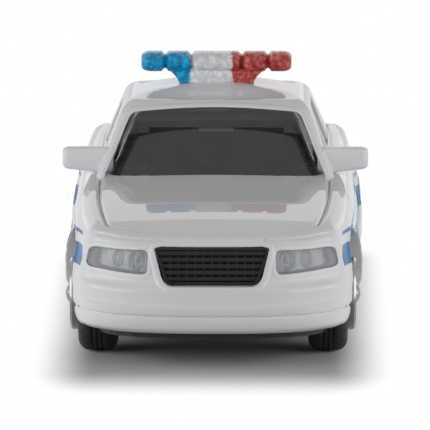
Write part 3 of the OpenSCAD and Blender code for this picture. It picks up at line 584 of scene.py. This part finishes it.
def lamp_path(side, tail):
    across_step, share_step = 0.05, 0.005
    path = []
    for x, s in lamp_outline(tail):
        p = lamp_point(x, s, side, tail)
        a = lamp_point(x + across_step, s, side, tail) - p
        b = lamp_point(x, s + share_step, side, tail) - p
        n = a.cross(b).normalized()
        if n.y * (1 if tail else -1) < 0:
            n = -n
        path.append((p, n))
    return path


def add_mirror(mesh, side):
    """A door mirror's housing: a swept, rounded block on a short arm."""
    low, high, thick, sweep, end_l = BELT_H - 1.2, BELT_H + 1.6, 1.9, 0.9, 0.75
    stations, circle = 30, turn(40)
    inner, outer = mix(CABIN_W, ROOF_W, cabin_share(high)) / 2 - WALL / 2, BODY_W / 2 + 0.69
    front = pillar_line(1, low) + thick - 0.35
    rows = []
    for k in range(stations + 1):
        u = 1 - (1 - k / stations) ** 1.6
        x = mix(inner, outer, u)
        end = max(0.0, (x - outer + end_l) / end_l)
        size = max(math.sqrt(max(1 - end ** 2.4, 0)), 0.02)
        tip = size if size < 0.2 else 1
        bottom, top = low + 0.45 * u, high - 0.15 * u
        depth = thick * mix(0.92, 1, u)
        z_mid, y_mid = (bottom + top) / 2, front + sweep * u + depth / 2
        half_d, half_h = depth / 2 * mix(0.55, 1, size), (top - bottom) / 2 * mix(0.6, 1, size)
        rows.append([
            (side * x, y_mid + half_d * bulge(c, 0.5) * tip, z_mid + half_h * bulge(d, 0.42) * tip)
            for c, d in circle])
    verts = add_grid(mesh, rows, close=True)
    mesh.faces.new(verts[-1])


class Casting:
    """The painted shell's skins, cut opening by opening, and the lips that cover the cuts."""

    def __init__(self):
        stations = body_stations()
        self.sides, self.top = flank_skin(stations), deck_skin(stations)
        self.cabin, self.lips = bmesh.new(), bmesh.new()
        add_cabin(self.cabin, 0, CABIN_LOW)
        self.sides_tree, self.cabin_tree = skin_tree(self.sides), skin_tree(self.cabin)

    def open_y(self, skin, search, outline, front, section, depth):
        """An opening seen along the length, as the windscreen is."""
        way, limit = (1, HEADER_Y + 0.5) if front else (-1, REAR_HEADER_Y - 0.5)
        path = [ray_hit(search, (x, -way * CLEAR_Y, z), (0, way, 0)) for x, z in outline]
        sweep_lip(self.lips, search, path, section, lambda p: p + Vector((0, way * depth, 0)))
        grown = grow(outline, CUT_MARGIN)
        drop_faces(skin, lambda x, y, z: y * way < limit * way and inside(grown, x, z))

    def open_x(self, search, outline, side, section, reveal, closed=True):
        """The lip of an opening seen from the side, as a door's window is."""
        path = [ray_hit(search, (side * CLEAR_X, y, z), (-side, 0, 0)) for y, z in outline]
        sweep_lip(self.lips, search, path, section, reveal, closed)

    def open_screens(self):
        screen = screen_outline(SCREEN_FOOT_W, SCREEN_TOP_W, COWL_H - 1)
        rear = screen_outline(REAR_FOOT_W, REAR_TOP_W, BOOT_H - 1)
        for outline, front in ((screen, True), (rear, False)):
            self.open_y(self.cabin, self.cabin_tree, outline, front, SCREEN_LIP, WALL)

    def open_windows(self, side):
        from_x, wall = 5, Vector((side * WALL, 0, 0))
        for outline in side_outlines():
            self.open_x(self.cabin_tree, outline, side, WINDOW_LIP, lambda p: p - wall)
            grown = grow(outline, CUT_MARGIN)
            drop_faces(self.cabin, lambda x, y, z: x * side > from_x and inside(grown, y, z))

    def line_arches(self, side):
        """The lips, walls and inner ends of one side's wheel wells."""
        above_sill, steps = 0.05, 90
        low = math.degrees(math.asin((AXLE_H - SILL_H - above_sill) / ARCH_R))
        arc = [math.radians(mix(-low, 180 + low, k / steps)) for k in range(steps + 1)]
        for axle in AXLES_Y:
            outline, hub = (
                [(axle + r * math.cos(a), AXLE_H + r * math.sin(a)) for a in arc]
                for r in (ARCH_R, WELL_BORE))
            self.open_x(self.sides_tree, outline, side, ARCH_LIP,
                        lambda p: Vector((side * WELL_X, p.y, p.z)), closed=False)
            add_grid(self.lips, [[(side * WELL_X, y, z) for y, z in row] for row in (outline, hub)])

    def open_grille(self):
        self.open_y(self.sides, self.sides_tree, grille_outline(), True, GRILLE_LIP, GRILLE_D)

    def open_lamps(self, tail):
        """The lamps of one end, cut by distance round the plan and height share."""
        way, end_y = -1 if tail else 1, -25 * MM
        for side in (-1, 1):
            sweep_lip(self.lips, self.sides_tree, lamp_path(side, tail), LAMP_LIP,
                      lambda p: p + Vector((0, LAMP_D * way, 0)))
        run = plan_run(tail)
        grown = grow([(run(x), s) for x, s in lamp_outline(tail)], CUT_MARGIN, 1 / LAMP_SKIN_H)
        across_layer, share_layer = (self.sides.verts.layers.float[n] for n in ("across", "share"))
        gone = []
        for face in self.sides.faces:
            if face.verts[0].co.y * way < end_y:
                x = sum(v[across_layer] for v in face.verts) / 4
                share = sum(v[share_layer] for v in face.verts) / 4
                if inside(grown, run(x), share):
                    gone.append(face)
        bmesh.ops.delete(self.sides, geom=gone, context="FACES")

    def clear_hollows(self):
        """Takes the skin out of the wheel arches and the deck out of the cabin."""
        from_x = 8.6
        drop_faces(self.sides, lambda x, y, z: abs(x) > from_x and any(
            math.hypot(y - a, z - AXLE_H) < ARCH_R + CUT_MARGIN for a in AXLES_Y))
        hole = cabin_ring((COWL_H + BOOT_H) / 2, WALL + HOLE_GAP)
        drop_faces(self.top, lambda x, y, z: inside(hole, x, y))

    def joined(self, name):
        whole = bmesh.new()
        for part in (self.sides, self.top, self.cabin, self.lips):
            data = bpy.data.meshes.new("part")
            part.to_mesh(data)
            part.free()
            whole.from_mesh(data)
            bpy.data.meshes.remove(data)
        return make_object(name, whole)


def white_body():
    casting = Casting()
    casting.open_screens()
    for side in (-1, 1):
        casting.open_windows(side)
        casting.line_arches(side)
    casting.open_grille()
    for tail in (False, True):
        casting.open_lamps(tail)
    casting.clear_hollows()
    for side in (-1, 1):
        add_mirror(casting.lips, side)
    return casting.joined("body_paint")


# Lamps: concentric rings inside the lamp's outline, on the skin

def lamp_rings(side, tail, gap, depth_at, rings=16):
    """Rings from a gap inside a lamp's outline to its middle, at given depths."""
    outline = grow(lamp_outline(tail), -gap, 1 / LAMP_SKIN_H)
    middle = tuple(sum(p[k] for p in outline) / len(outline) for k in (0, 1))
    rows = []
    for k in range(rings, -1, -1):
        scale = math.sin(math.radians(90 * k / rings))
        row = []
        for x, s in outline:
            here = mix(middle[0], x, scale), mix(middle[1], s, scale)
            row.append(tuple(lamp_point(*here, side, tail, depth_at(*here, scale))))
        rows.append(row)
    return rows


def lens(name, side, tail):
    """A lens whose face follows the skin, with a round edge and a rim that reaches into the shell."""
    gap, recess, edge_drop, edge_from, edge_share, rim_d = 0.02, 0.05, 0.07, 0.9, 0.1, 0.95

    def face_depth(x, s, scale):
        return recess + edge_drop * max(0, (scale - edge_from) / edge_share) ** 2

    rows = lamp_rings(side, tail, gap, face_depth)
    back = lamp_rings(side, tail, gap, lambda x, s, scale: rim_d)[0]
    mesh = bmesh.new()
    add_grid(mesh, [back] + rows, close=True)
    return make_object(name, mesh, sharp=50)


def reflector(name, side):
    """A bright back with two round bowls, each with a bulb in its middle."""
    bowls = ((9.2, 1.15), (12.0, 0.95))
    gap, back, bowl_d, bulb_l, bulb_share, rise = 0.1, 1.25, 0.55, 0.3, 0.3, 9.7
    middle = (HEADLIGHT[2] + HEADLIGHT[3]) / 2

    def depth(x, s, scale):
        deep = back
        for at, radius in bowls:
            far = math.hypot(x - at, (s - middle) * rise) / radius
            if far < 1:
                deep += bowl_d * (1 - far ** 2) - bulb_l * math.exp(-(far / bulb_share) ** 2)
        return deep

    mesh = bmesh.new()
    add_grid(mesh, lamp_rings(side, False, gap, depth, 28), close=True)
    return make_object(name, mesh)


# Light bar: five ribbed pods on a foot

# Shares of the half length where the waists are, and a waist's half width
WAIST_SHARES, WAIST_REACH = (0.335, 0.685), 0.42
# Sizes at a waist and at the ends, and the ribs' depth and spacing
WAIST_SIZE, TIP_SIZE, RIB_D, RIB_STEP = 0.68, 0.5, 0.035, 0.4
POD_POWER, FOOT_POWER = 2 / 2.3, 0.16


def bar_scale(x):
    """The share of its full section that the bar has: less at the waists and the round ends."""
    half, end_round = BAR_L / 2, POD_H / 2.2
    tip = (half - abs(x)) / end_round
    near = min(abs(abs(x) - k * half) for k in WAIST_SHARES) / WAIST_REACH
    end = 1 if tip >= 1 else mix(TIP_SIZE, 1, math.sqrt(max(1 - (1 - tip) ** 2, 0)))
    return min(end, mix(WAIST_SIZE, 1, ease(0, 1, near)))


def add_pods(mesh):
    half, count, circle = BAR_L / 2, 312, turn(72)
    middle = ROOF_H + FOOT_H + POD_H / 2
    rows = []
    for i in range(count + 1):
        x = mix(-half, half, i / count)
        size = bar_scale(x)
        rib = RIB_D * (0.5 + 0.5 * math.cos(2 * math.pi * x / RIB_STEP)) * ease(0.9, 1, size)
        row = []
        for c, d in circle:
            y = BAR_Y + (size * POD_D / 2 - rib * abs(c) ** 4) * bulge(c, POD_POWER)
            row.append((x, y, middle + size * POD_H / 2 * bulge(d, POD_POWER)))
        rows.append(row)
    verts = add_grid(mesh, rows, close=True)
    mesh.faces.new(verts[0])
    mesh.faces.new(verts[-1])


def add_bar_foot(mesh):
    """The foot, longer and thinner from the roof up."""
    half, rise, sunk, steps, circle = BAR_L / 2, FOOT_H + POD_H / 3, 0.06, 14, turn(96)
    rows = []
    for k in range(steps + 1):
        u = k / steps
        length, deep = mix(0.5, 0.72, u ** 1.5) * half, mix(0.38, 0.28, u) * POD_D
        z = mix(ROOF_H - sunk, ROOF_H + rise, u)
        rows.append([
            (length * bulge(c, FOOT_POWER), BAR_Y + deep * bulge(d, FOOT_POWER), z) for c, d in circle])
    add_grid(mesh, rows, close=True)


def light_bar():
    mesh = bmesh.new()
    add_pods(mesh)
    add_bar_foot(mesh)
    return make_object("light_bar_lens", mesh)


# Tyres: moulded tread and side walls

TYRE_ROUND, TREAD_SHARES, TREAD_W, TREAD_D = 1.2, (0.2, 0.5, 0.8), 0.26, 0.16
NOTCHES, NOTCH_D = 30, 0.1
WALL_RING_IN, WALL_RING_W, WALL_RING_D = 1.25, 0.22, 0.05


def tyre_section():
    """The tyre's section from the disc over the tread and back, as (radius, distance across)."""
    r, w, corner, gap = TYRE_D / 2, TYRE_W, TYRE_ROUND, 0.02
    inner, foot = HUB_D / 2 - 0.35, HUB_D / 2 + 0.1
    arc = [math.radians(90 * k / 10) for k in range(1, 11)]
    section = [(inner, gap)]
    section += [(mix(foot, r - corner, k / 4), gap) for k in range(5)]
    section += [(r - corner + corner * math.sin(a), corner - (corner - gap) * math.cos(a)) for a in arc]
    section += [(r, mix(corner, w - corner, k / 24)) for k in range(1, 25)]
    section += [(r - corner + corner * math.cos(a), w - corner + (corner - gap) * math.sin(a)) for a in arc]
    section += [(mix(r - corner, foot, k / 4), w - gap) for k in range(1, 5)]
    section += [(inner, w - gap)]
    return section


def tyre(name, side, y):
    r, w, around = TYRE_D / 2, TYRE_W, 240
    section = tyre_section()
    grooves = [mix(TYRE_ROUND, w - TYRE_ROUND, share) for share in TREAD_SHARES]
    rows = []
    for i in range(around):
        a = 2 * math.pi * i / around
        notch = NOTCH_D * (0.5 + 0.5 * math.cos(NOTCHES * a)) ** 6
        row = []
        for radius, z in section:
            tread = max(groove(z - g, TREAD_W, TREAD_D) for g in grooves) if radius > r - 0.05 else 0
            on_shoulder = 1 - ease(0.2, 0.7, abs(abs(z - w / 2) - 1.5))
            shoulder = notch * ease(r - 0.75, r - 0.3, radius) * on_shoulder
            on_wall = not 0.3 < z < w - 0.3
            ring = groove(radius - (r - WALL_RING_IN), WALL_RING_W, WALL_RING_D) if on_wall else 0
            rr = radius - tread - shoulder
            zz = z + (ring if z < w / 2 else -ring)
            row.append((side * (TYRE_IN + zz), y + rr * math.cos(a), AXLE_H + rr * math.sin(a)))
        rows.append(row)
    rows.append(rows[0])
    mesh = bmesh.new()
    add_grid(mesh, rows)
    return make_object(name, mesh)


# Materials

class Finish:
    """A node material with object coordinates at hand, in millimetres."""

    def __init__(self, name):
        self.material = bpy.data.materials.new(name)
        self.material.use_nodes = True
        self.nodes = self.material.node_tree.nodes
        self.links = self.material.node_tree.links
        self.shader = self.nodes["Principled BSDF"]
        coordinates = self.nodes.new("ShaderNodeTexCoord")
        scale = self.nodes.new("ShaderNodeVectorMath")
        scale.operation = "SCALE"
        scale.inputs["Scale"].default_value = 1 / MM
        self.links.new(coordinates.outputs["Object"], scale.inputs[0])
        self.place = scale.outputs[0]

    def set(self, **values):
        """Sets the shader's own sockets, with _ for a space in their names."""
        for name, value in values.items():
            self.shader.inputs[name.replace("_", " ")].default_value = value

    def noise(self, scale, detail, rough=0.5):
        node = self.nodes.new("ShaderNodeTexNoise")
        node.inputs["Scale"].default_value = scale
        node.inputs["Detail"].default_value = detail
        node.inputs["Roughness"].default_value = rough
        self.links.new(self.place, node.inputs["Vector"])
        return node.outputs["Fac"]

    def flutes(self, scale, direction):
        node = self.nodes.new("ShaderNodeTexWave")
        node.bands_direction = direction
        node.inputs["Scale"].default_value = scale
        self.links.new(self.place, node.inputs["Vector"])
        return node.outputs["Fac"]

    def range(self, value, low, high, to_low, to_high, smooth=False):
        """A value carried from one range to another, and held at its ends."""
        node = self.nodes.new("ShaderNodeMapRange")
        if smooth:
            node.interpolation_type = "SMOOTHSTEP"
        sockets = "From Min", "From Max", "To Min", "To Max"
        for socket, number in zip(sockets, (low, high, to_low, to_high)):
            node.inputs[socket].default_value = number
        self.links.new(value, node.inputs["Value"])
        return node.outputs["Result"]

    def math(self, operation, a, b=0.0):
        node = self.nodes.new("ShaderNodeMath")
        node.operation = operation
        for socket, value in zip(node.inputs, (a, b)):
            if isinstance(value, (int, float)):
                socket.default_value = value
            else:
                self.links.new(value, socket)
        return node.outputs[0]

    def split(self):
        node = self.nodes.new("ShaderNodeSeparateXYZ")
        self.links.new(self.place, node.inputs[0])
        return node.outputs

    def blend(self, factor, a, b):
        node = self.nodes.new("ShaderNodeMix")
        node.data_type = "RGBA"
        self.links.new(factor, node.inputs["Factor"])
        for socket, value in ((node.inputs[6], a), (node.inputs[7], b)):
            if isinstance(value, tuple):
                socket.default_value = (*value, 1)
            else:
                self.links.new(value, socket)
        return node.outputs[2]

    def pointiness(self):
        """Below a half in hollows and above it on edges."""
        return self.nodes.new("ShaderNodeNewGeometry").outputs["Pointiness"]

    def color(self, socket):
        self.links.new(socket, self.shader.inputs["Base Color"])

    def rough(self, socket):
        self.links.new(socket, self.shader.inputs["Roughness"])

    def bump(self, height, distance, strength=1.0):
        node = self.nodes.new("ShaderNodeBump")
        node.inputs["Distance"].default_value = distance * MM
        node.inputs["Strength"].default_value = strength
        self.links.new(height, node.inputs["Height"])
        self.links.new(node.outputs[0], self.shader.inputs["Normal"])


def moulded(name, tone, roughness, speckle, bump, metallic=0.0, vary=0.35, flutes=None, **sockets):
    """Moulded plastic or metal, a little uneven, with relief from a fine grain or from flutes."""
    finish = Finish(name)
    finish.set(**{"Metallic": metallic, "Specular_IOR_Level": 0.25, **sockets})
    broad, fine = finish.noise(0.35, 4), finish.noise(speckle, 4, 0.6)
    dark = tuple(c * (1 - vary) for c in tone)
    light = tuple(min(c * (1 + vary), 1) for c in tone)
    finish.color(finish.blend(finish.range(broad, 0.3, 0.7, 0, 1), dark, light))
    finish.rough(finish.range(fine, 0.3, 0.7, roughness * 0.8, min(roughness * 1.25, 1)))
    finish.bump(finish.flutes(*flutes) if flutes else fine, bump)
    return finish.material


# The enamel, and the grey of painted shade in its hollows
WHITE, HOLLOW_SHADE_TONE = (0.8, 0.8, 0.82), (0.36, 0.37, 0.41)
# The stripes' blue, and the dark of painted shade deep in the wheel wells
BLUE, WELL_SHADE_TONE = (0.035, 0.2, 0.42), (0.03, 0.03, 0.032)
# The painted shade deep in the wheel wells fades out between these distances from the middle, leaving the
# arches' edges white
WELL_SHADE_ENDS_X = 13.0, 13.5


def between(finish, value, low, high):
    """1 where a value is between low and high, with soft ends."""
    soft = 0.04
    above = finish.range(value, low - soft, low + soft, 0, 1)
    below = finish.range(value, high - soft, high + soft, 1, 0)
    return finish.math("MULTIPLY", above, below)


def axle_distance(finish, y, z, axle_y):
    along, up = finish.math("SUBTRACT", y, axle_y), finish.math("SUBTRACT", z, AXLE_H)
    squares = finish.math("ADD", finish.math("MULTIPLY", along, along), finish.math("MULTIPLY", up, up))
    return finish.math("SQRT", squares)


def paint():
    """White enamel with blue stripes, with painted shade: grey in hollows and engraved lines, and dark deep
    in the wheel wells.
    """
    finish = Finish("white_enamel")
    finish.set(Coat_Weight=0.5, Coat_Roughness=0.02, Specular_IOR_Level=0.0)
    x, y, z = finish.split()
    across = finish.math("ABSOLUTE", x)
    tone = finish.range(finish.noise(0.12, 3), 0.35, 0.65, 0, 1)
    base = finish.blend(tone, WHITE, tuple(c * 0.97 for c in WHITE))
    # Painted shade: the enamel turns grey in hollows and engraved lines, where shade falls
    hollow = finish.range(finish.pointiness(), 0.38, 0.47, 0.7, 0, smooth=True)
    shaded_hollows = finish.blend(hollow, base, HOLLOW_SHADE_TONE)
    reach = finish.math("MINIMUM", *(axle_distance(finish, y, z, a) for a in AXLES_Y))
    outside = finish.range(reach, ARCH_R - 0.01, ARCH_R + 0.03, 0, 1)
    bands = finish.math("MAXIMUM", *(between(finish, z, *band) for band in STRIPES))
    sides = between(finish, across, STRIPE_X, BODY_W)
    flank = finish.math("MULTIPLY", sides, between(finish, y, *STRIPE_ENDS))
    printed = finish.math("MULTIPLY", finish.math("MULTIPLY", bands, flank), outside)
    striped = finish.blend(printed, shaded_hollows, BLUE)
    # Painted shade: the wheel wells' walls are dark inside the arches and deep under the body
    deep = finish.range(across, *WELL_SHADE_ENDS_X, 1, 0)
    shade_in_wells = finish.math("MULTIPLY", finish.math("SUBTRACT", 1, outside), deep)
    finish.color(finish.blend(shade_in_wells, striped, WELL_SHADE_TONE))
    finish.rough(finish.range(finish.noise(0.25, 3), 0.3, 0.7, 0.16, 0.24))
    finish.bump(finish.noise(0.35, 2, 0.4), 0.008)
    return finish.material


def tint():
    return moulded("smoked_window", (0.032, 0.034, 0.04), 0.06, 1.2, 0.004, vary=0.15,
                   Alpha=0.78, IOR=1.49, Specular_IOR_Level=0.4)


# The bar's blue ends and its red begins between these distances from the middle
BLUE_EDGE, RED_EDGE = (-2.8, -2.65), (1.5, 1.65)


def bar_plastic():
    """Clear moulding, blue on the car's right and red on its left, with a random relief and painted glints
    that lighten its colour in spots.
    """
    finish = Finish("bar_clear")
    finish.set(IOR=1.3)
    x, _, _ = finish.split()
    uneven = finish.range(finish.noise(1.1, 3), 0.3, 0.7, -0.25, 0.25)
    edge = finish.math("ADD", x, uneven)
    blue = finish.range(edge, *BLUE_EDGE, 1, 0)
    red = finish.range(edge, *RED_EDGE, 0, 1)
    # Painted glints: the same noise gives the relief and lightens the colour in spots
    facet_relief_and_glints = finish.noise(1.7, 5, 0.7)
    painted_glints = finish.range(facet_relief_and_glints, 0.4, 0.68, 0, 1, smooth=True)
    clear = finish.blend(painted_glints, (0.68, 0.69, 0.72), (1.0, 1.0, 1.0))
    blues = finish.blend(painted_glints, (0.0, 0.2, 0.46), (0.0, 0.58, 1.0))
    reds = finish.blend(painted_glints, (0.36, 0.03, 0.035), (0.9, 0.2, 0.16))
    finish.color(finish.blend(red, finish.blend(blue, clear, blues), reds))
    finish.rough(finish.range(finish.noise(3, 3), 0.3, 0.7, 0.06, 0.16))
    finish.bump(facet_relief_and_glints, 0.3, 0.8)
    return finish.material


def clear_lens():
    return moulded("lens_clear", (0.5, 0.52, 0.54), 0.08, 2.0, 0.012, vary=0.12,
                   Alpha=0.45, Specular_IOR_Level=0.5)


# Pieces on the bodies

def place(piece, body, material, slot, *nodes):
    """Gives a piece its material and its body, and hides the CAD nodes that it stands for. The slot is not
    used.
    """
    piece.data.materials.append(material)
    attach(piece, body)
    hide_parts(*nodes)


def wheel_name(prefix, end, side):
    return f"{prefix}_{end}_{'left' if side > 0 else 'right'}"


def add_pieces():
    place(white_body(), "car", paint(), "white_paint", "body_shell")
    place(window_dome(), "car", tint(), "tinted_window", "window_moulding")
    place(light_bar(), "car", bar_plastic(), "bar_lens", "light_bar")
    clear = clear_lens()
    foil = moulded("lamp_foil", (0.27, 0.28, 0.3), 0.5, 5.0, 0.018, 1.0, 0.12, (0.62, "X"))
    red = moulded("lamp_red", (0.42, 0.015, 0.02), 0.1, 3.0, 0.07, vary=0.3, flutes=(0.7, "Z"))
    rubber = moulded("tyre_rubber", (0.02, 0.02, 0.021), 0.6, 5.0, 0.03)
    for side, hand in ((1, "left"), (-1, "right")):
        place(lens(f"lens_{hand}", side, False), "car", clear, "clear_lens", f"headlight_lens_{hand}")
        place(reflector(f"foil_{hand}", side), "car", foil, "reflector", f"headlight_reflector_{hand}")
        place(lens(f"tail_{hand}", side, True), "car", red, "red_lens", f"tail_light_{hand}")
        for end, y in (("front", FRONT_AXLE_Y), ("rear", REAR_AXLE_Y)):
            place(tyre(wheel_name("rubber", end, side), side, y), f"{end}_wheelset", rubber, "tyre",
                  wheel_name("tyre", end, side))


def dress_nodes():
    steel = moulded("plain_steel", (0.55, 0.56, 0.57), 0.28, 7.0, 0.006, 1.0, 0.12)
    # The plated discs are painted dark, a painted reflection of dark surroundings in chrome
    plated = moulded("plated_disc", (0.24, 0.24, 0.25), 0.16, 4.0, 0.004, 1.0, 0.2)
    black = moulded("grille_black", (0.016, 0.016, 0.018), 0.38, 7.0, 0.012)
    under = moulded("base_black", (0.018, 0.018, 0.02), 0.5, 5.0, 0.03)
    seats = moulded("tub_plastic", (0.1, 0.1, 0.11), 0.55, 6.0, 0.03)
    carried = {"grille": black, "base_plate": under, "interior_tub": seats}
    for end in ("front", "rear"):
        carried[f"{end}_axle"] = carried[f"{end}_rivet"] = steel
        for side in (1, -1):
            carried[wheel_name("wheel_disc", end, side)] = plated
    for name, material in carried.items():
        for slot in frame["nodes"][name].material_slots:
            slot.material = material


# Floor, light and camera

# The floor's grey, a painted shadow, is full under the core of the car and fades over these distances beside
# and beyond it
SHADOW_CORE, SHADOW_FADE = (11.5, 39.0), (6.7, 17.0)
# The sky's tones from straight below to straight above, and its strength
SKY_TONES, SKY_STRENGTH = ((0.0, 0.75), (0.5, 0.9), (0.62, 0.9), (0.8, 0.48), (1.0, 0.3)), 0.3
# Softboxes: name, place and size in metres, power in watts
LIGHTS = (
    ("key", (-0.6, -0.22, 0.16), (0.8, 0.5), 3.1),
    ("fill", (0.6, -0.22, 0.16), (0.8, 0.5), 2.8),
    ("back", (0, 0.6, 0.15), (0.6, 0.2), 0.28))
LIGHT_TARGET = Vector((0, -0.01, 0.012))


def floor():
    """Grey paper round the car, a painted shadow that fades into the white background; the car's own shadow
    falls on it too.
    """
    bpy.ops.mesh.primitive_plane_add(size=4)
    ground = bpy.context.object
    ground.name = "studio_floor"
    finish = Finish("studio_paper")
    grain = finish.noise(0.4, 3)
    # Painted shadow: the paper is grey, and it shows only near the car
    finish.color(finish.blend(grain, (0.6, 0.595, 0.59), (0.66, 0.655, 0.65)))
    finish.set(Roughness=0.9, Specular_IOR_Level=0.0)
    x, y, _ = finish.split()
    squares = []
    for at, core, reach in zip((x, y), SHADOW_CORE, SHADOW_FADE):
        outside = finish.math("MAXIMUM", finish.math("SUBTRACT", finish.math("ABSOLUTE", at), core), 0)
        squares.append(finish.math("POWER", finish.math("DIVIDE", outside, reach), 2))
    far = finish.math("SQRT", finish.math("ADD", *squares))
    finish.links.new(finish.range(far, 0, 1, 1, 0, smooth=True), finish.shader.inputs["Alpha"])
    ground.data.materials.append(finish.material)


def sky_color(nodes, links):
    coordinates = nodes.new("ShaderNodeTexCoord")
    split = nodes.new("ShaderNodeSeparateXYZ")
    links.new(coordinates.outputs["Generated"], split.inputs[0])
    scale = nodes.new("ShaderNodeMapRange")
    scale.inputs["From Min"].default_value = -1
    links.new(split.outputs["Z"], scale.inputs["Value"])
    ramp = nodes.new("ShaderNodeValToRGB")
    elements = ramp.color_ramp.elements
    while len(elements) < len(SKY_TONES):
        elements.new(0.5)
    for element, (at, tone) in zip(elements, SKY_TONES):
        element.position = at
        element.color = (tone, tone, tone, 1)
    links.new(scale.outputs["Result"], ramp.inputs["Fac"])
    return ramp.outputs["Color"]


def shows_background(nodes, links):
    """1 for camera, glossy and transmitted rays, which show the background."""
    path = nodes.new("ShaderNodeLightPath")
    seen = path.outputs["Is Camera Ray"]
    for ray in ("Is Glossy Ray", "Is Transmission Ray"):
        either = nodes.new("ShaderNodeMath")
        either.operation = "MAXIMUM"
        links.new(seen, either.inputs[0])
        links.new(path.outputs[ray], either.inputs[1])
        seen = either.outputs[0]
    return seen


def world():
    """A dim sky that lights the car, and a white background that is seen and reflected."""
    scene_world = bpy.data.worlds.new("studio")
    bpy.context.scene.world = scene_world
    scene_world.use_nodes = True
    nodes, links = scene_world.node_tree.nodes, scene_world.node_tree.links
    nodes.clear()
    sky = nodes.new("ShaderNodeBackground")
    sky.inputs["Strength"].default_value = SKY_STRENGTH
    links.new(sky_color(nodes, links), sky.inputs["Color"])
    white = nodes.new("ShaderNodeBackground")
    white.inputs["Color"].default_value = (1, 1, 1, 1)
    choose = nodes.new("ShaderNodeMixShader")
    links.new(shows_background(nodes, links), choose.inputs["Fac"])
    links.new(sky.outputs[0], choose.inputs[1])
    links.new(white.outputs[0], choose.inputs[2])
    output = nodes.new("ShaderNodeOutputWorld")
    links.new(choose.outputs[0], output.inputs["Surface"])


def area_light(name, at, size, power):
    data = bpy.data.lights.new(name, "AREA")
    data.shape = "RECTANGLE"
    data.size, data.size_y = size
    data.energy = power
    light = bpy.data.objects.new(name, data)
    light.location = at
    light.rotation_euler = (LIGHT_TARGET - Vector(at)).to_track_quat("-Z", "Y").to_euler()
    light.visible_camera = False
    bpy.context.collection.objects.link(light)


def camera():
    """The photograph's view: nearly level, a hair to the car's left of straight ahead."""
    yaw, elevation, distance = math.radians(0.62), math.radians(7.65), 0.8
    target, target_px, image = Vector((0, -0.015, 0.012)), (214.3, 217.7), 430
    level = math.cos(elevation)
    forward = Vector((-math.sin(yaw) * level, math.cos(yaw) * level, -math.sin(elevation)))
    data = bpy.data.cameras.new("camera")
    data.sensor_width = 36
    data.lens = 660.3
    data.shift_x = (image / 2 - target_px[0]) / image
    data.shift_y = (target_px[1] - image / 2) / image
    eye = bpy.data.objects.new("camera", data)
    eye.location = target - forward * distance
    eye.rotation_euler = forward.to_track_quat("-Z", "Y").to_euler()
    bpy.context.collection.objects.link(eye)
    bpy.context.scene.camera = eye


add_pieces()
dress_nodes()
floor()
world()
for softbox in LIGHTS:
    area_light(*softbox)
camera()
bpy.context.scene.view_settings.view_transform = "Standard"
